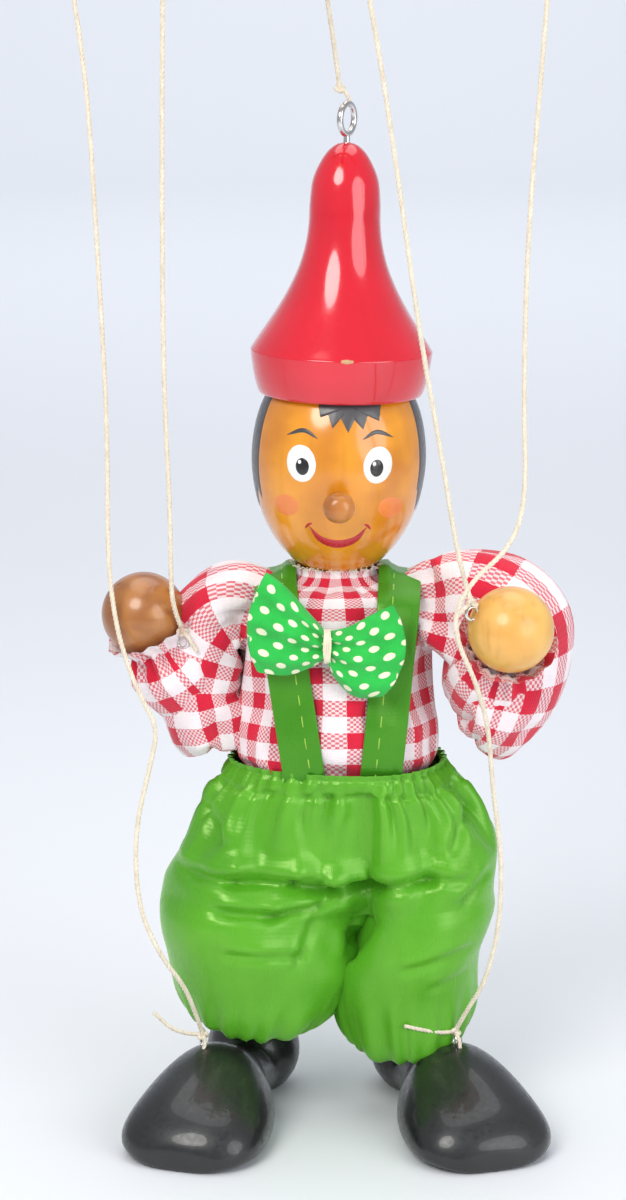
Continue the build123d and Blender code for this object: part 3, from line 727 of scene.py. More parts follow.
HEAD_PROFILE = [
    (0.0, 132.5), (4.2, 133.1), (9.4, 135.9), (14.6, 141.5), (18.5, 149.5), (20.4, 160.0),
    (19.3, 170.5), (15.6, 178.5), (8.5, 184.3), (0.0, 186.0),
]
HAT_PROFILE = [
    (0.0, 179.0), (14.0, 178.4), (17.4, 177.2), (18.5, 176.4), (19.3, 176.9), (20.2, 179.6), (20.9, 183.2),
    (21.25, 185.9), (21.3, 186.6), (21.0, 187.1), (19.9, 188.9), (18.2, 191.5), (15.0, 196.5),
    (12.3, 201.5), (10.2, 206.5), (8.9, 211.5), (8.35, 216.0), (8.2, 221.0), (7.5, 226.5), (5.1, 231.5),
    (2.6, 234.0), (0.0, 234.8),
]


def radius_at(profile, z):
    line = smooth_line([(r, 0, h) for r, h in profile], 8)
    best = 0.0
    for a, b in zip(line, line[1:]):
        if min(a.z, b.z) <= z <= max(a.z, b.z) and abs(b.z - a.z) > 1e-6:
            best = max(best, a.x + (b.x - a.x) * (z - a.z) / (b.z - a.z))
    return best


HEAD_RADII = [radius_at(HEAD_PROFILE, 132.5 + 0.25 * k) for k in range(215)]


def head_radius(z):
    place = min(max((z - 132.5) / 0.25, 0.0), 213.0)
    k = int(place)
    return HEAD_RADII[k] + (HEAD_RADII[k + 1] - HEAD_RADII[k]) * (place - k)


def on_face(x, z, lift):
    """A point on the front of the head, raised by lift."""
    r = head_radius(z)
    y = -math.sqrt(max(r * r - x * x, 0.01))
    out = Vector((x, y, 0)) * ((r + lift) / r)
    return at(out.x, out.y, z)


def painted(name, outline, centre, lift, material, rings=9):
    """A patch of thick paint on the face."""
    rows, (cx, cz) = [], centre
    for k in range(rings):
        share = 1 - k / rings
        rise = lift * (1 - share**5) if k else -0.06
        rows.append([
            on_face(cx + (x - cx) * share, cz + (z - cz) * share, rise) for x, z in outline
        ])
    mesh = ring_mesh(name, rows, caps=(False, True))
    return add_piece(name, leaned(mesh), material, "head")


def oval(x, z, rx, rz, count=40, turn=0.0):
    """An oval's outline about x, z."""
    points = []
    c, s = math.cos(turn), math.sin(turn)
    for t in turns(count):
        a, b = rx * math.cos(t), rz * math.sin(t)
        points.append((x + a * c - b * s, z + a * s + b * c))
    return points


def brushed(name, points, width, lift, material, taper=0.8):
    """A brush stroke on the face, wide in its middle and fine at its ends."""
    line = smooth_line([(x, z, 0) for x, z in points], 8)
    rows = []
    for k, point in enumerate(line):
        before, after = line[max(k - 1, 0)], line[min(k + 1, len(line) - 1)]
        way = (after - before).normalized()
        share = math.sin(math.pi * (k + 0.15) / (len(line) - 0.7))
        half = width / 2 * max(share, 0.05) ** taper
        rows.append([
            on_face(point.x - way.y * half * s, point.y + way.x * half * s, rise * lift)
            for s, rise in ((-1, -0.5), (-0.8, 0.5), (-0.4, 0.95), (0, 1), (0.4, 0.95), (0.8, 0.5), (1, -0.5))
        ])
    return add_piece(name, leaned(ring_mesh(name, rows, closed=False)), material, "head")


def straight_edged(points, per_edge=8):
    """An outline with straight edges, as close points."""
    outline = []
    for (x0, z0), (x1, z1) in zip(points, points[1:] + points[:1]):
        for k in range(per_edge):
            outline.append((x0 + (x1 - x0) * k / per_edge, z0 + (z1 - z0) * k / per_edge))
    return outline


def hair_band():
    """Hair painted round the sides and back, with a jagged lower edge."""
    first, last, columns, rows = 66.0, 294.0, 230, 16
    verts = []
    for i in range(rows + 1):
        ring = []
        for j in range(columns + 1):
            degrees = first + (last - first) * j / columns
            across = j / columns
            jag = abs(((j / 13.0) % 1.0) * 2 - 1)
            low = 156.0 - 9.0 * math.sin(math.pi * across) ** 0.6 - 4.6 * jag
            low += 1.2 * noise.noise(Vector((j * 0.11, 2.0, 0)))
            z = 179.5 + (low - 179.5) * i / rows
            edge = i == rows or j in (0, columns)
            lean_in = 2.4 * math.sin(0.9 * z) * (1 - abs(2 * across - 1)) * 0.2
            r = head_radius(z) + (-0.08 if edge else 0.13)
            turn = math.radians(degrees + lean_in)
            ring.append(at(-r * math.sin(turn), -r * math.cos(turn), z))
        verts.append(ring)
    mesh = ring_mesh("hair_band", verts, closed=False)
    return add_piece("hair_band", leaned(mesh), "hair_paint", "head")


def make_head():
    head = leaned(lathe("turned_head", HEAD_PROFILE, 128, 6))
    add_piece("turned_head", head, "head_wood", "head", ["head"])
    hat = leaned(lathe("turned_hat", HAT_PROFILE, 128, 5))
    add_piece("turned_hat", hat, "red_paint", "head", ["hat"])
    for side, sign in (("right", -1), ("left", 1)):
        x = sign * 8.8
        white = oval(x, 162.6, 3.5, 4.5, turn=-sign * 0.08)
        painted(f"{side}_eye_white", white, (x, 162.6), 0.14, "white_paint")
        x = sign * 8.5
        painted(f"{side}_eye_pupil", oval(x, 162.0, 1.75, 2.3), (x, 162.0), 0.27, "eye_paint")
        x = sign * 8.5 - 0.6
        painted(f"{side}_eye_glint", oval(x, 163.0, 0.5, 0.6, 20), (x, 163.0), 0.36, "white_paint", 5)
        arch = [(sign * 5.2, 168.6), (sign * 8.4, 170.2), (sign * 12.2, 168.8)]
        brushed(f"{side}_brow", arch, 1.1, 0.12, "hair_paint")
        x = sign * 12.0
        painted(f"{side}_cheek", oval(x, 152.2, 3.0, 2.8), (x, 152.2), 0.05, "cheek_paint")
    smile = [(-6.6, 147.6), (-4.0, 144.6), (0, 143.4), (4.0, 144.6), (6.6, 147.6)]
    brushed("smile", smile, 2.3, 0.13, "lip_paint", 0.9)
    brushed("right_dimple", [(-7.6, 147.0), (-6.9, 148.0), (-6.0, 148.5)], 0.7, 0.12, "lip_paint")
    brushed("left_dimple", [(7.6, 147.0), (6.9, 148.0), (6.0, 148.5)], 0.7, 0.12, "lip_paint")
    fringe = [
        (-6.0, 178.6), (-5.0, 173.2), (-3.4, 174.6), (-2.0, 170.8), (-0.2, 173.4), (1.8, 169.8), (3.2, 172.8),
        (5.4, 170.6), (6.4, 173.8), (9.2, 172.4), (9.8, 178.6),
    ]
    painted("forelock", straight_edged(fringe), (2.0, 176.0), 0.13, "hair_paint", 12)
    hair_band()
    knob = [(2.3, -1.5), (2.35, 0.6), (2.7, 1.5), (3.4, 3.0), (3.65, 5.0), (3.3, 7.2), (2.1, 8.6), (0.0, 9.1)]
    nose = turned("nose_knob", knob, (0, -19.6, 153.5), (0, -1, 0.05), 48)
    add_piece("nose_knob", leaned(nose), "nose_wood", "head", ["nose"])
    make_hat_chips()


HAT_CHIPS = {
    # degrees round from the back, height, half width, half height of the bare wood
    "hat_chip_front": (177.0, 186.7, 1.7, 0.55), "hat_chip_side": (84.0, 185.6, 0.9, 1.3),
    "hat_chip_back": (300.0, 186.4, 1.0, 0.5),
}


def make_hat_chips():
    for name, (degrees, z, wide, tall) in HAT_CHIPS.items():
        rows = []
        for share in (1.0, 0.7, 0.35, 0.05):
            row = []
            for k, t in enumerate(turns(18)):
                rough = 1 + 0.35 * noise.noise(Vector((k * 0.9, degrees, 0)))
                height = z + tall * share * rough * math.sin(t)
                turn = math.radians(degrees) + wide * share * rough * math.cos(t) / 21.0
                r = radius_at(HAT_PROFILE, height) + (0.06 if share < 1 else -0.05)
                row.append(at(r * math.sin(turn), r * math.cos(turn), height))
            rows.append(row)
        add_piece(name, leaned(ring_mesh(name, rows, caps=(False, True))), "bare_wood", "head")


def turned(name, profile, origin, way, count, steps=4):
    """A turned shape about any axis, through (radius, distance along) points in millimetres."""
    way = Vector(way).normalized()
    u = way.orthogonal().normalized()
    w = way.cross(u)
    rings = []
    for point in smooth_line([(r, 0, h) for r, h in profile], steps):
        centre = Vector(origin) + way * point.z
        r = max(point.x, 0.02)
        rings.append([at(*(centre + (u * math.cos(t) + w * math.sin(t)) * r)) for t in turns(count)])
    return ring_mesh(name, rings, caps=(True, True))


BALL_R = 10.0
FOREARMS = {
    # the elbow, the middle of the hand ball
    "right": ((-29.0, 5.0, 102.5), (-45.6, -3.5, 124.0)),
    "left": ((36.5, -1.0, 105.0), (40.1, -24.0, 125.0)),
}


def make_hands():
    for side, (elbow, hand) in FOREARMS.items():
        ball = [(1.2, -7.0), (2.5, -8.6), (2.7, -9.3), (3.1, -9.55)]
        arc_turns = [math.pi * k / 24 for k in range(3, 24)]
        ball += [(BALL_R * math.sin(a), -BALL_R * math.cos(a)) for a in arc_turns]
        ball += [(0.9, 9.99), (0.5, 9.85), (0.0, 9.85)]
        mesh = turned(f"{side}_hand_ball", ball, hand, Vector(hand) - Vector(elbow), 72, 3)
        wood_name = f"{side}_hand_wood"
        add_piece(f"{side}_hand_ball", mesh, wood_name, f"{side}_forearm", [f"{side}_hand"])


# ---- shoes ----
TOE_STATIONS = [
    # ahead of the heel's middle, half width, top
    (12.0, 5.0, 9.0), (15.0, 8.2, 13.5), (19.0, 11.0, 17.4), (24.0, 13.2, 19.9), (29.0, 14.9, 20.6),
    (35.0, 16.3, 19.8), (41.0, 17.1, 17.9), (47.0, 17.2, 15.4), (51.5, 16.0, 13.0), (55.0, 13.4, 10.2),
    (57.3, 9.6, 7.4), (58.2, 5.0, 5.4),
]
HEEL_R = 11.7
HEEL_HEIGHT = 9.6
BRIDGE_STATIONS = [(-3, 9.0, 8.0), (-10, 8.6, 7.6), (-16, 8.8, 8.4), (-24, 10.0, 9.0)]


def make_shoe(side):
    """A shoe carved from one block: a broad toe, a ball of a heel and the bridge between them."""
    sign = -1 if side == "right" else 1
    rings = []
    for ahead, half, top in [tuple(p) for p in smooth_line(TOE_STATIONS, 3)]:
        middle = min(4.6, top * 0.4)
        ring = []
        for t in turns(48):
            c, s = math.cos(t), math.sin(t)
            x = half * math.copysign(abs(c) ** 0.86, c)
            if s > 0:
                z = middle + (top - middle) * s**0.94
                x *= 1 - 0.13 * s
            else:
                z = middle - middle * abs(s) ** 0.45
            ring.append(Vector((x, -ahead, z)))
        rings.append(ring)
    toe = ring_mesh("toe", rings, caps=(True, True))
    heights = (-HEEL_HEIGHT, -8, -5, -2, 1, 4, 7, 9.5, 11)
    profile = [(0.02, -HEEL_HEIGHT), *[(math.sqrt(HEEL_R**2 - h * h), h) for h in heights], (0.02, HEEL_R)]
    heel = ring_mesh("heel", [
        [Vector((r * math.cos(t), r * math.sin(t), HEEL_HEIGHT + h)) for t in turns(40)] for r, h in profile
    ], caps=(True, True))
    bridge = ring_mesh("bridge", [
        [Vector((w * math.cos(t), y, max(7.2 + h * math.sin(t), 0.3))) for t in turns(24)]
        for y, w, h in BRIDGE_STATIONS
    ], caps=(True, True))
    shoe = join_meshes(f"{side}_shoe_block", [toe, heel, bridge])
    shoe.transform(Matrix.Scale(MM, 4))
    piece = loose_piece(f"{side}_shoe_block", shoe)
    remesh = piece.modifiers.new("remesh", "REMESH")
    remesh.mode = "VOXEL"
    remesh.voxel_size = 0.75 * MM
    smooth = piece.modifiers.new("smooth", "SMOOTH")
    smooth.iterations = 9
    finish_mesh(piece)
    for vertex in piece.data.vertices:
        vertex.co.z = max(vertex.co.z, 0.0)
    piece.data.transform(
        Matrix.Translation(at(sign * 20.4, 10.5, 0)) @ Matrix.Rotation(math.radians(sign * 17.0), 4, "Z")
    )
    piece.data.polygons.foreach_set("use_smooth", [True] * len(piece.data.polygons))
    peg = [at(sign * 19, 2, 28.5), at(sign * 19, 2, 22), at(sign * 19.5, 4, 14)]
    tab = tube(f"{side}_ankle_peg", peg, 2.1 * MM, 16)
    block = piece.data.copy()
    bpy.data.objects.remove(piece)
    mesh = join_meshes(f"{side}_shoe_done", [block, tab])
    add_piece(f"{side}_shoe_block", mesh, "black_paint", f"{side}_shoe", [f"{side}_shoe"])


# ---- cloth ----
SIM_SCALE = 20.0


def run_cloth(piece, pins, growth, pressure, gravity, bending=0.5, frames=34):
    """Lets a cloth hang: it is simulated 20 times larger than life, and its result is kept."""
    scene = bpy.context.scene
    piece.data.transform(Matrix.Scale(SIM_SCALE, 4))
    group = piece.vertex_groups.new(name="pins")
    for index, weight in pins.items():
        group.add([index], weight, "REPLACE")
    cloth = piece.modifiers.new("cloth", "CLOTH")
    settings = cloth.settings
    settings.quality = 6
    settings.mass = 0.3
    settings.tension_stiffness = settings.compression_stiffness = 18
    settings.shear_stiffness = 8
    settings.bending_stiffness = bending
    settings.air_damping = 2.0
    settings.vertex_group_mass = "pins"
    settings.shrink_min = -growth
    settings.use_pressure = True
    settings.uniform_pressure_force = pressure
    settings.effector_weights.gravity = gravity
    cloth.collision_settings.use_collision = False
    cloth.point_cache.frame_start = 1
    cloth.point_cache.frame_end = frames
    scene.frame_start, scene.frame_end = 1, frames
    for frame_number in range(1, frames + 1):
        scene.frame_set(frame_number)
    finish_mesh(piece)
    scene.frame_set(1)
    piece.vertex_groups.clear()
    piece.data.transform(Matrix.Scale(1 / SIM_SCALE, 4))
    return piece


def displace(piece, rule):
    """Moves each point along its normal by rule(point in millimetres, u and v in millimetres)."""
    mesh = piece.data
    places = {}
    layer = mesh.uv_layers["cloth"].data
    for loop in mesh.loops:
        places[loop.vertex_index] = layer[loop.index].uv * 1000.0
    normals = [vertex.normal.copy() for vertex in mesh.vertices]
    for vertex, normal in zip(mesh.vertices, normals):
        u, v = places.get(vertex.index, (0, 0))
        vertex.co += normal * rule(millimetres(vertex.co), u, v) * MM
    mesh.update()


def ruffle(u, period, seed):
    """Gathers: rounded folds of uneven width."""
    bend = 1.4 * noise.noise(Vector((u * 0.05, seed, 0.3)))
    wave = math.sin(2 * math.pi * (u / period + bend))
    size = 0.75 + 0.6 * noise.noise(Vector((u * 0.11, seed, 7.7)))
    return wave * size


def fade(value, full, none):
    """1 at full, 0 at none, smooth between."""
    share = min(max((value - none) / (full - none), 0.0), 1.0)
    return share * share * (3 - 2 * share)


def ring_uvs(count, width, lengths):
    """For each ring, its points' places on the flat cloth: round the ring, and along the piece."""
    return [[(width * j / count * MM, length * MM) for j in range(count + 1)] for length in lengths]


def sleeve(name, path, width, seed, bodies, node_name, cuff=None, count=46, steps=5):
    """A gathered tube of gingham along a path of (x, y, z, radius); cuff is how far along it is drawn in."""
    line = smooth_line(path, steps)
    rings, lengths, total, normal = [], [], 0.0, Vector((0, -1, 0.2))
    for k, point in enumerate(line):
        here = Vector(point[:3])
        before, after = Vector(line[max(k - 1, 0)][:3]), Vector(line[min(k + 1, len(line) - 1)][:3])
        way = (after - before).normalized()
        total += (here - Vector(line[k - 1][:3])).length if k else 0.0
        lengths.append(total)
        normal = (normal - way * normal.dot(way)).normalized()
        across = way.cross(normal)
        ring = []
        for j, t in enumerate(turns(count)):
            r = point[3] * (1 + 0.05 * noise.noise(Vector((j * 0.35, k * 0.3, seed))))
            ring.append(at(*(here + normal * (r * math.cos(t)) + across * (r * math.sin(t)))))
        rings.append(ring)
    mesh = ring_mesh(name, rings, ring_uvs(count, width, lengths))
    piece = loose_piece(name, mesh)
    last = len(rings) - 1
    pins = {}
    for i in list(range(0, 2)) + list(range(last - (steps + 2 if cuff else 1), last + 1)):
        for j in range(count):
            pins[i * count + j] = 1.0
    run_cloth(piece, pins, growth=0.17, pressure=0.3, gravity=0.15)
    subdivide(piece)

    def folds(point, u, v):
        gathered = 0.0 if cuff else 7.0
        near_start = fade(v, gathered, gathered + (8.0 if cuff else 9.0))
        amount = 0.55 * near_start * ruffle(u, 5.5, seed)
        if cuff:
            near_cuff = fade(abs(v - cuff), 0.0, 9.0)
            amount += 0.8 * near_cuff * ruffle(u, 4.6, seed + 3)
        amount += 0.35 * noise.noise(Vector((u * 0.14, v * 0.2, seed)))
        return amount

    displace(piece, folds)
    finish_garment(piece, bodies, [node_name], "gingham")


def finish_garment(piece, bodies, nodes, material):
    """Gives a cloth mesh its material and makes it a piece that rides on one body; one between two bodies is
    left where it hangs, on no body.
    """
    piece.data.polygons.foreach_set("use_smooth", [True] * len(piece.data.polygons))
    piece.data.materials.clear()
    piece.data.materials.append(LOOKS[material])
    if len(bodies) == 2:
        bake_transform(piece)
    else:
        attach(piece, bodies[0])
    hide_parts(*nodes)


def make_sleeves():
    sleeve(
        "right_sleeve_top",
        [
            (-14.5, 0, 121.0, 8.6), (-18.0, 0, 123.4, 8.8), (-21.0, 0.1, 125.6, 9.6), (-24.8, 0.7, 125.8, 10.5),
            (-28.5, 2.2, 121.0, 10.6), (-30.5, 3.6, 113.0, 10.2), (-30.2, 4.4, 105.0, 10.6),
            (-29.2, 4.6, 98.5, 9.2), (-28.6, 4.6, 94.2, 6.0), (-28.4, 4.6, 92.4, 1.2),
        ],
        74.0, seed=2.0, bodies=("torso", "right_upper_arm"), node_name="right_upper_sleeve",
    )
    sleeve(
        "left_sleeve_top",
        [
            (14.5, 0, 121.0, 8.6), (18.0, 0, 123.6, 8.8), (21.5, -0.2, 126.4, 9.8), (25.5, -0.8, 127.6, 11.0),
            (32.0, -2.4, 129.6, 13.2), (38.0, -4.0, 127.2, 14.2), (40.4, -4.4, 119.0, 12.6),
            (39.6, -3.4, 110.5, 11.0), (38.0, -2.0, 103.5, 9.4), (36.4, -1.4, 98.6, 6.0),
            (35.8, -1.2, 96.6, 2.6),
        ],
        84.0, seed=5.0, bodies=("torso", "left_upper_arm"), node_name="left_upper_sleeve",
        count=52,
    )
    sleeve(
        "right_sleeve_cuff",
        [
            (-28.6, 5.4, 100.0, 5.0), (-31.4, 4.4, 103.6, 8.8), (-35.6, 2.2, 108.8, 10.2),
            (-39.0, 0.2, 113.4, 10.0), (-41.6, -1.3, 117.2, 7.2), (-42.7, -1.9, 119.2, 9.6),
            (-43.5, -2.3, 120.9, 11.9),
        ],
        68.0, seed=8.0, bodies=("right_forearm",), node_name="right_lower_sleeve",
        cuff=22.5,
    )
    sleeve(
        "left_sleeve_cuff",
        [
            (36.3, 1.0, 103.6, 5.0), (36.7, -2.4, 106.6, 8.8), (37.5, -7.6, 111.2, 10.4),
            (38.3, -12.6, 115.4, 10.0), (39.0, -17.0, 119.0, 7.2), (39.4, -19.2, 120.9, 9.4),
            (39.7, -21.2, 122.4, 11.5),
        ],
        68.0, seed=11.0, bodies=("left_forearm",), node_name="left_lower_sleeve",
        cuff=24.0,
    )


SHIRT_ROWS = [
    # height, half width, half depth
    (83.0, 20.4, 13.0), (86.0, 21.4, 14.0), (90.0, 23.0, 15.4), (96.0, 23.2, 16.2), (103.0, 22.6, 16.1),
    (111.0, 22.1, 15.8), (118.0, 21.8, 15.2), (123.0, 21.4, 14.5), (127.0, 19.4, 13.2), (130.0, 15.4, 11.2),
    (132.2, 11.6, 9.4), (133.4, 10.0, 8.6), (134.6, 9.7, 8.4), (135.6, 10.2, 8.9),
]


def box_oval(t, a, b, power=2.3):
    c, s = math.cos(t), math.sin(t)
    return a * math.copysign(abs(c) ** (2 / power), c), b * math.copysign(abs(s) ** (2 / power), s)


def make_shirt():
    count, width = 92, 128.0
    line = smooth_line(SHIRT_ROWS, 3)
    rings, lengths = [], []
    for k, (z, a, b) in enumerate(tuple(p) for p in line):
        lengths.append(z - 83.0 + 0.9 * max(0.0, 23.0 - a))
        ring = []
        for j, t in enumerate(turns(count)):
            wider, deeper = [0.35 * noise.noise(Vector((j * 0.4, k * 0.2, seed))) for seed in (3, 9)]
            ring.append(at(*box_oval(t, a + wider, b + deeper), z))
        rings.append(ring)
    mesh = ring_mesh("shirt", rings, ring_uvs(count, width, lengths))
    piece = loose_piece("shirt", mesh)
    last = len(rings) - 1
    pins = {i * count + j: 1.0 for i in (0, 1, last - 2, last - 1, last) for j in range(count)}
    for i in range(last - 8, last - 2):
        for j in range(count):
            pins[i * count + j] = 0.5
    run_cloth(piece, pins, growth=0.05, pressure=0.12, gravity=0.1)
    subdivide(piece)

    def folds(point, u, v):
        low = fade(point.z, 86.0, 102.0) * fade(point.z, 91.5, 88.0)
        high = fade(point.z, 134.0, 124.0)
        edge = fade(point.z, 135.4, 134.0)
        return (
            0.5 * low * ruffle(u, 6.0, 1.0) + 0.5 * high * ruffle(u, 7.0, 4.0)
            + 0.5 * edge * noise.noise(Vector((u * 0.8, v * 0.8, 5.0)))
        )

    displace(piece, folds)
    finish_garment(piece, ("torso",), ["shirt_body"], "gingham")
    threads = []
    chance = random.Random(11)
    for k in range(90):
        turn = 2 * math.pi * (k + chance.random()) / 90
        x, y = box_oval(turn, 10.1, 8.8)
        start = Vector((x, y, 135.0 + 0.4 * chance.random()))
        lean = Vector((x, y, 0)).normalized() * chance.uniform(0.1, 1.3)
        stray = Vector((chance.uniform(-0.7, 0.7), chance.uniform(-0.7, 0.7), chance.uniform(0.1, 1.1)))
        tip = start + lean + stray
        bent = (start + tip) / 2 + Vector((chance.uniform(-0.3, 0.3), chance.uniform(-0.3, 0.3), 0.35))
        threads.append(tube(f"fray_{k}", [at(*p) for p in smooth_line([start, bent, tip], 4)], 0.11 * MM, 5))
    add_piece("collar_fray", join_meshes("collar_fray", threads), "thread", "torso")


# ---- trousers ----
SEAT_ROWS = [
    # height, right edge, left edge, seam's x, front, back, how deep the centre crease is
    (88.4, 25.4, 26.0, 7.0, -19.0, 18.6, 0.0), (85.4, 26.2, 27.0, 7.0, -19.4, 18.8, 0.02),
    (82.6, 28.0, 29.4, 7.0, -19.8, 19.0, 0.05), (79.0, 31.4, 34.6, 7.2, -21.2, 20.2, 0.08),
    (74.0, 33.8, 37.4, 7.4, -22.6, 21.4, 0.14), (69.0, 35.8, 38.6, 7.5, -23.4, 21.8, 0.22),
    (64.5, 38.2, 38.0, 7.2, -23.6, 22.0, 0.34), (61.0, 39.8, 37.4, 6.8, -22.4, 21.6, 0.52),
    (58.0, 40.6, 37.2, 6.4, -21.4, 21.0, 0.8),
]
LEG_ROWS = {
    "right": [
        # height, outer edge, inner edge, front, back
        (58.0, -40.6, 6.4, -21.4, 21.0), (53.5, -41.4, 2.6, -22.4, 20.6), (48.0, -40.8, 2.8, -22.0, 19.6),
        (42.5, -39.6, 3.0, -20.8, 18.0), (37.0, -38.2, 1.4, -19.4, 16.4), (32.0, -36.2, -1.2, -18.4, 15.0),
        (28.0, -33.6, -5.0, -17.0, 13.4), (25.4, -30.4, -9.4, -15.0, 11.6), (24.4, -27.2, -12.6, -12.0, 9.4),
        (25.6, -24.8, -14.8, -8.6, 7.6), (28.6, -23.8, -16.0, -6.4, 6.4),
    ],
    "left": [
        (58.0, 37.2, 6.4, -21.4, 21.0), (53.5, 37.6, 7.2, -22.2, 20.6), (48.0, 35.8, 5.0, -21.8, 19.6),
        (42.5, 34.2, 3.0, -20.6, 18.0), (36.5, 33.4, 1.6, -19.4, 16.4), (30.5, 32.9, 1.4, -18.8, 15.2),
        (24.8, 31.4, 2.4, -18.2, 14.0), (20.8, 28.4, 5.2, -16.8, 12.4), (19.2, 25.4, 9.2, -13.4, 10.0),
        (20.0, 23.4, 12.4, -9.4, 8.4), (23.0, 22.4, 14.6, -7.0, 6.8),
    ],
}
HEM_RISE = {"right": 3.5, "left": 8.0}
OUTER, INNER = 42, 18  # steps round a leg's outer arc and its inner one
COLUMN_WIDTH = 2.4  # of flat cloth, between two points of a ring
SEAT_END, KNEE = 15, 25  # the rows of points where the garment is cut for the hips and the knees


def arc(outer_x, inner_x, front, back, crease, closed):
    """One leg's ring: the outer arc from the front seam to the back one, and the inner arc back."""
    start = math.acos(-crease)
    if closed:
        half = (outer_x - inner_x) / 2
    else:
        half = (outer_x - inner_x) / (1 + crease)
    middle_x, middle_y, depth = outer_x - half, (front + back) / 2, (back - front) / 2
    outer = [-start + 2 * start * k / OUTER for k in range(OUTER + 1)]
    inner = [start + (2 * math.pi - 2 * start) * k / INNER for k in range(1, INNER)]
    return [(middle_x + half * math.cos(t), middle_y + depth * math.sin(t)) for t in outer + inner]


def leg_rings(side):
    """Rings of one side of the trousers, from the waist down to the tucked hem."""
    rings = []
    rows = [tuple(p) for p in smooth_line(SEAT_ROWS, 3)]
    for z, right, left, seam, front, back, crease in rows:
        outer_x = left if side == "left" else -right
        spots = arc(outer_x, seam, front, back, min(max(crease, 0.0), 0.8), False)[: OUTER + 1]
        (fx, fy), (bx, by) = spots[0], spots[-1]
        for k in range(1, INNER):
            share = k / INNER
            sag = 1.2 * math.sin(math.pi * share) if z < 58.1 else 0.0
            spots.append((bx + (fx - bx) * share, by + (fy - by) * share, sag))
        rings.append([Vector((s[0], s[1], z + (s[2] if len(s) > 2 else 0.0))) for s in spots])
    crotch_row = len(rings) - 1
    rows = [tuple(p) for p in smooth_line(LEG_ROWS[side], 3)][1:]
    for k, (z, outer_x, inner_x, front, back) in enumerate(rows):
        spots = arc(outer_x, inner_x, front, back, 0.8, True)
        share = min(1.0, (k + 1) / (len(rows) * 0.6))
        rings.append([
            Vector((x, y, z + share * HEM_RISE[side] * (y + 20.0) / 38.0)) for x, y in spots
        ])
    return rings, crotch_row


CREASES = [
    # the folds in front: from x, z to x, z, how deep and how wide
    (-36.0, 62.6, -24.0, 62.0, 1.9, 1.5), (-24.0, 62.0, -10.0, 61.2, 2.5, 1.7),
    (-10.0, 61.2, -1.0, 58.6, 3.3, 1.9), (-1.0, 58.6, 7.0, 59.6, 3.4, 2.0),
    (7.0, 59.6, 22.0, 62.6, 2.2, 1.6), (22.0, 62.6, 30.0, 62.0, 1.0, 1.3),
    (-27.0, 55.0, -15.0, 53.8, 1.8, 1.1), (-15.0, 53.8, -4.0, 55.4, 1.6, 1.1),
    (-25.0, 44.6, -9.0, 43.6, 0.8, 1.0), (-4.0, 55.0, -9.0, 42.0, 0.9, 1.1),
    (36.0, 62.0, 31.0, 57.0, 1.2, 1.2), (17.0, 41.0, 31.0, 44.6, 0.8, 1.1),
    (4.6, 54.0, 3.4, 42.0, 1.0, 1.2), (24.0, 36.0, 31.0, 38.0, 0.5, 0.9),
    (-28.0, 71.0, -31.0, 77.0, 1.3, 1.5), (28.0, 70.0, 31.0, 78.0, 1.3, 1.6),
    (-6.0, 70.0, -7.0, 78.0, 0.9, 1.3), (1.0, 69.0, 2.0, 77.0, 0.9, 1.2),
]


def from_line(x, z, x0, z0, x1, z1):
    """How far a point is from a line, how far above it, and a share that fades past the line's ends."""
    length = math.hypot(x1 - x0, z1 - z0)
    ux, uz = (x1 - x0) / length, (z1 - z0) / length
    along = (x - x0) * ux + (z - z0) * uz
    over = -(x - x0) * uz + (z - z0) * ux
    past = max(-along, along - length, 0.0)
    return abs(over), over if ux >= 0 else -over, math.exp(-((past / 1.6) ** 2))


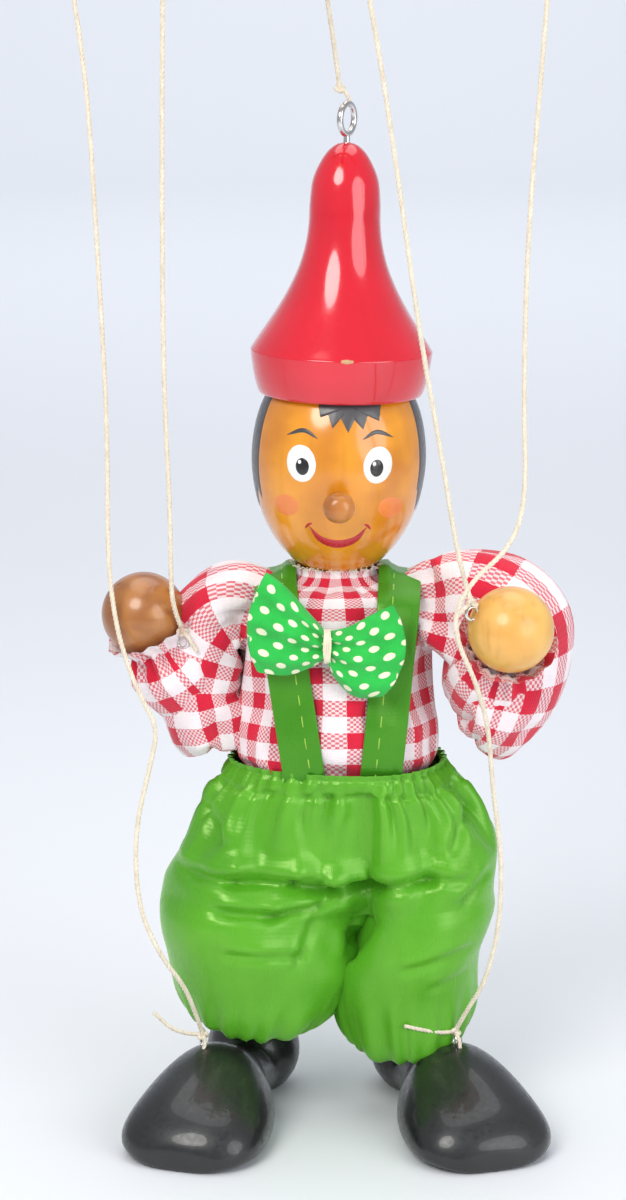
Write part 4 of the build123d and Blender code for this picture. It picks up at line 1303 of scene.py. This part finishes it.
def make_trousers():
    parts, count = {}, OUTER + INNER
    all_verts, faces, corners, tags = [], [], [], []
    layout = {}
    for side in ("right", "left"):
        rings, crotch_row = leg_rings(side)
        base = len(all_verts)
        layout[side] = (base, len(rings), crotch_row)
        for ring in rings:
            all_verts += [at(*p) for p in ring]
        v = 0.0
        for i in range(len(rings) - 1):
            step = (rings[i][OUTER // 2] - rings[i + 1][OUTER // 2]).length
            columns = range(OUTER) if i < crotch_row else range(count)
            for j in columns:
                k = (j + 1) % count
                row, below = base + i * count, base + (i + 1) * count
                quad = (row + j, row + k, below + k, below + j)
                u, next_u = j * COLUMN_WIDTH, (j + 1) * COLUMN_WIDTH
                uv = [(u, v), (next_u, v), (next_u, v + step), (u, v + step)]
                if side == "left":
                    quad, uv = quad[::-1], uv[::-1]
                faces.append(quad)
                corners += [(a * MM, b * MM) for a, b in uv]
                tags.append((side, i))
            v += step
    mesh = mesh_of("trousers", all_verts, faces, corners)
    part = mesh.attributes.new("part", "INT", "FACE")
    part.data.foreach_set("value", [
        0 if i < SEAT_END else (1 if i < KNEE else 2) + (2 if side == "left" else 0) for side, i in tags
    ])
    pinned = set()
    for side, (base, rows, _) in layout.items():
        for i in (0, 1, 2, rows - 1, rows - 2, rows - 3):
            pinned |= {base + i * count + j for j in range(count)}
    marks = mesh.attributes.new("pinned", "INT", "POINT")
    marks.data.foreach_set("value", [int(k in pinned) for k in range(len(all_verts))])
    weld(mesh, 0.02 * MM)
    work = bmesh.new()
    work.from_mesh(mesh)
    bmesh.ops.delete(work, geom=[v for v in work.verts if not v.link_faces], context="VERTS")
    work.to_mesh(mesh)
    work.free()
    piece = loose_piece("trousers", mesh)
    pins = {k: 1.0 for k, mark in enumerate(mesh.attributes["pinned"].data) if mark.value}
    run_cloth(piece, pins, growth=0.08, pressure=0.45, gravity=0.35, bending=0.8)
    subdivide(piece)

    def folds(point, u, v):
        band = fade(point.z, 84.6, 82.2)
        below = fade(point.z, 84.0, 66.0)
        channel = math.exp(-(((point.z - 82.8) / 0.8) ** 2))
        channel += 0.8 * math.exp(-(((point.z - 87.2) / 0.5) ** 2))
        amount = 0.95 * band * ruffle(u, 3.7, 1.0) + 1.45 * below * (1 - band) * ruffle(u, 8.5, 4.0)
        amount += 0.8 * below * (1 - band) * ruffle(u, 4.2, 6.0) - 0.7 * channel
        amount += 0.8 * fade(point.z, 25.0, 36.0) * ruffle(u, 8.0, 9.0)
        amount += 0.7 * noise.noise(point * 0.09) * (1 - band)
        if point.y < 2.0:
            side_fade = fade(point.y, -6.0, 2.0)
            for x0, z0, x1, z1, depth, width in CREASES:
                away, over, end = from_line(point.x, point.z, x0, z0, x1, z1)
                dip = math.exp(-((away / width) ** 2))
                lip = math.exp(-(((over - 2.1 * width) / (1.5 * width)) ** 2))
                amount += side_fade * end * depth * (0.55 * lip - dip)
        return amount

    displace(piece, folds)
    split_trousers(piece)


def split_trousers(piece):
    """Parts the garment into the seat and each leg's top and lower leg, with one shading across the cuts."""
    mesh = piece.data
    mesh.polygons.foreach_set("use_smooth", [True] * len(mesh.polygons))
    whole = {tuple(round(c, 7) for c in v.co): v.normal.copy() for v in mesh.vertices}
    values = [item.value for item in mesh.attributes["part"].data]
    names = {
        0: "trousers_gathered_seat", 1: "right_trouser_top", 2: "right_trouser_leg", 3: "left_trouser_top",
        4: "left_trouser_leg",
    }
    made = {}
    for part, name in names.items():
        work = bmesh.new()
        work.from_mesh(mesh)
        work.faces.ensure_lookup_table()
        others = [face for face, value in zip(work.faces, values) if value != part]
        bmesh.ops.delete(work, geom=others, context="FACES")
        cut = bpy.data.meshes.new(name)
        work.to_mesh(cut)
        work.free()
        cut.polygons.foreach_set("use_smooth", [True] * len(cut.polygons))
        made[part] = cut
    tops = {part: edge_heights(cut) for part, cut in made.items()}
    for part, name in names.items():
        cut = made[part]
        cut.normals_split_custom_set_from_vertices([
            whole.get(tuple(round(c, 7) for c in v.co), v.normal) for v in cut.vertices
        ])
        new = loose_piece(name, cut)
        side = "right" if part < 3 else "left"
        low, high = tops[part]
        if part == 0:
            bodies, span, flat = ("torso",), (), (0.200, 0.024)
            nodes = ["trousers_seat", "waist_elastic"]
        elif part in (1, 3):
            bodies, span = ("torso", f"{side}_thigh"), ((0, 0, high), (0, 0, low))
            flat = (0.150, 0.014) if side == "right" else (0.105, 0.014)
            nodes = [f"{side}_trouser_upper"]
        else:
            bodies, span = (f"{side}_thigh", f"{side}_shin"), ((0, 0, high), (0, 0, high - 12.0))
            flat, nodes = (0.130, 0.040), [f"{side}_trouser_lower"]
        finish_garment(new, bodies, nodes, "green_satin")
    bpy.data.objects.remove(piece)


def edge_heights(mesh):
    """The highest point of the lower rim and the lowest of the upper one, in millimetres."""
    uses = {}
    for polygon in mesh.polygons:
        for key in polygon.edge_keys:
            uses[key] = uses.get(key, 0) + 1
    rim = sorted({millimetres(mesh.vertices[k].co).z for key, n in uses.items() if n == 1 for k in key})
    middle = (rim[0] + rim[-1]) / 2
    return max(z for z in rim if z < middle), min(z for z in rim if z > middle)


# ---- ribbons and bow ----
STRAPS = {"right": (-7.5, -14.5), "left": (10.5, 15.0)}  # x at the waist, x on the shoulder
HALF_STRAP_LINE = [
    # ahead of the middle, height, from the front waist up
    (-16.6, 84.0), (-17.2, 90.0), (-17.8, 100.0), (-17.6, 110.0), (-16.8, 120.0), (-13.6, 128.6), (-6.6, 133.2),
]
STRAP_LINE = [*HALF_STRAP_LINE, (0.0, 134.0), *[(-y, z) for y, z in reversed(HALF_STRAP_LINE)]]
HALF_RIBBON = 5.0


def outward_reach(tree, start, out, reach=14.0):
    """How far beyond a point the shirt reaches, in millimetres."""
    hit = tree.ray_cast(at(*(start + out * reach)), -out, 2 * reach * MM)
    return (millimetres(hit[0]) - start).dot(out) if hit[0] is not None else None


def around(rows, reach):
    """For each row, the rows up to reach before and after it."""
    return [rows[max(k - reach, 0): k + reach + 1] for k in range(len(rows))]


def make_straps():
    """Ribbons over the shoulders, which rest on the highest folds of the shirt under them."""
    shirt = bpy.data.objects["shirt"]
    tree = BVHTree.FromObject(shirt, bpy.context.evaluated_depsgraph_get())
    for side, (low, high) in STRAPS.items():
        line = smooth_line([(0, y, z) for y, z in STRAP_LINE], 8)
        stations, along = [], 0.0
        for k, point in enumerate(line):
            before, after = line[max(k - 1, 0)], line[min(k + 1, len(line) - 1)]
            way = (after - before).normalized()
            out = Vector((0, way.z, -way.y))
            out = out if out.dot(Vector((0, point.y, 30))) > 0 else -out
            along += (point - line[k - 1]).length if k else 0
            x = low + (high - low) * (point.z - 87.0) / 47.0
            reaches = []
            for j in range(9):
                spot = Vector((x - HALF_RIBBON + 1.25 * j, point.y, point.z))
                reach = outward_reach(tree, spot, out)
                reaches.append(-2.0 if reach is None else max(reach, -3.0))
            stations.append((x, point, out, along, reaches))
        hugs = [[max(values) for values in zip(*rows)] for rows in around([row[4] for row in stations], 3)]
        hugs = [[sum(values) / len(values) for values in zip(*rows)] for rows in around(hugs, 2)]
        hugs = [[max(row[max(j - 2, 0): j + 3]) * 0.6 + max(row) * 0.4 for j in range(9)] for row in hugs]

        def on_ribbon(k, across, lift):
            x, point, out, length, _ = stations[k]
            place = min(max((across + HALF_RIBBON) / 1.25, 0.0), 7.999)
            j = int(place)
            hug = hugs[k][j] + (hugs[k][j + 1] - hugs[k][j]) * (place - j)
            curl = 0.15 * noise.noise(Vector((length * 0.12, across * 0.1, low)))
            return at(*(Vector((x + across, point.y, point.z)) + out * (hug + 0.45 + lift + curl)))

        rings, uvs = [], []
        for k in range(len(stations)):
            ring, row = [], []
            for t in turns(36):
                across = HALF_RIBBON * math.copysign(abs(math.cos(t)) ** 0.6, math.cos(t))
                thick = 0.28 * math.copysign(abs(math.sin(t)) ** 0.6, math.sin(t))
                ring.append(on_ribbon(k, across, thick))
                row.append((across * MM, stations[k][3] * MM))
            rings.append(ring)
            uvs.append(row + [row[0]])
        mesh = ring_mesh(f"{side}_ribbon", rings, uvs, caps=(True, True))
        ribbon = loose_piece(f"{side}_ribbon", mesh)
        offset = 1.6 if side == "right" else -1.4
        stitches = [
            tube(f"stitch_{side}_{k}", [on_ribbon(k + i, offset, 0.30) for i in range(3)], 0.17 * MM, 6)
            for k in range(0, len(stations) - 3, 4)
        ]
        stitches = join_meshes(f"{side}_ribbon_stitches", stitches)
        seam = add_piece(f"{side}_ribbon_stitches", stitches, "stitch", "torso")
        ribbon.data.materials.append(LOOKS["green_ribbon"])
        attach(ribbon, "torso")
        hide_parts(f"{side}_strap")


BOW = {
    # top edge, bottom edge, how far the tip bulges, which way
    "right": (
        [(-2.3, 123.8), (-6.6, 128.8), (-11.6, 134.6), (-16.4, 138.4)],
        [(-2.3, 117.4), (-6.4, 114.8), (-12.0, 112.8), (-18.8, 113.4)], 3.6, -1,
    ),
    "left": (
        [(-2.3, 123.8), (2.6, 125.0), (8.0, 127.8), (13.4, 130.2)],
        [(-2.3, 117.4), (-0.6, 112.6), (4.4, 107.8), (11.2, 108.0)], 4.2, 1,
    ),
}


def make_bow():
    lobes = []
    for name, (top, bottom, bulge, sign) in BOW.items():
        upper, lower = [smooth_line([(x, z, 0) for x, z in edge], 9) for edge in (top, bottom)]
        rings, uvs = [], []
        for k, (a, b) in enumerate(zip(upper, lower)):
            s = k / (len(upper) - 1)
            ring, row = [], []
            for j in range(60):
                face = 1 if j < 30 else -1
                t = -1 + 2 * (j if j < 30 else 60 - j) / 30
                spot = b.lerp(a, (t + 1) / 2)
                spot.x += sign * bulge * s**2 * (1 - t * t)
                pleat = (1.0 - 0.45 * s) * math.cos(3.0 * math.pi * t + 0.6 * sign)
                pleat += 0.9 * s * math.sin(1.9 * t + 1.5 * s + sign)
                swell = (0.55 + 1.5 * math.sin(math.pi * min(s * 0.95 + 0.05, 1.0))) * (1 - abs(t) ** 4)
                wrinkle = 0.45 * noise.noise(Vector((s * 3.0 + sign * 5, t * 4.0, 1.0)))
                y = -22.0 - pleat - face * (swell + 0.22) - wrinkle + 1.6 * s
                ring.append(at(spot.x, y, spot.y))
                row.append((sign * (2.0 + s * 17.0) * MM, t * 12.5 * MM))
            rings.append(ring if sign > 0 else ring[::-1])
            row.append(row[0])
            uvs.append(row if sign > 0 else row[::-1])
        lobes.append(ring_mesh(f"bow_{name}", rings, uvs, caps=(True, True)))
    bow = add_piece("bow", join_meshes("bow", lobes), "dotted_cotton", "torso", ["bow_tie"])
    subdivide(bow)
    loops = []
    for k in range(5):
        x = -2.9 + 0.34 * k
        ring = [
            at(x + 0.10 * math.sin(3 * t + k), -22.3 - 2.5 * math.sin(t), 120.6 + 3.9 * math.cos(t))
            for t in turns(36)
        ]
        loops.append(tube(f"bow_thread_{k}", ring, 0.22 * MM, 6, closed=True))
    thread = add_piece("bow_thread", join_meshes("bow_thread", loops), "thread", "torso")


make_head()
make_hands()
make_shoe("right")
make_shoe("left")
make_shirt()
make_sleeves()
make_trousers()
make_straps()
make_bow()


# ---- carried-over CAD pieces ----
CAD_LOOKS = {
    # the neck dowel takes the near black-brown wood: painted shade under the chin
    "torso_block": "bare_wood", "limb_pegs": "bare_wood", "neck_dowel": "dark_wood",
    "control_main_bar": "control_wood", "control_hand_bar": "control_wood", "control_leg_bar": "control_wood",
    "control_screws": "nickel", "shoulder_pins": "nickel", "hip_pins": "nickel", "nod_pin": "nickel",
    "hat_screw_eye": "nickel",
}
for side in ("right", "left"):
    for stick in ("upper_arm", "forearm", "thigh", "shin"):
        CAD_LOOKS[f"{side}_{stick}"] = "bare_wood"
    for wire in ("elbow_pin", "knee_pin", "ankle_pin", "hand_eye", "shoe_eye"):
        CAD_LOOKS[f"{side}_{wire}"] = "nickel"
for name, look in CAD_LOOKS.items():
    mesh = frame["nodes"][name].data
    mesh.materials.clear()
    mesh.materials.append(LOOKS[look])
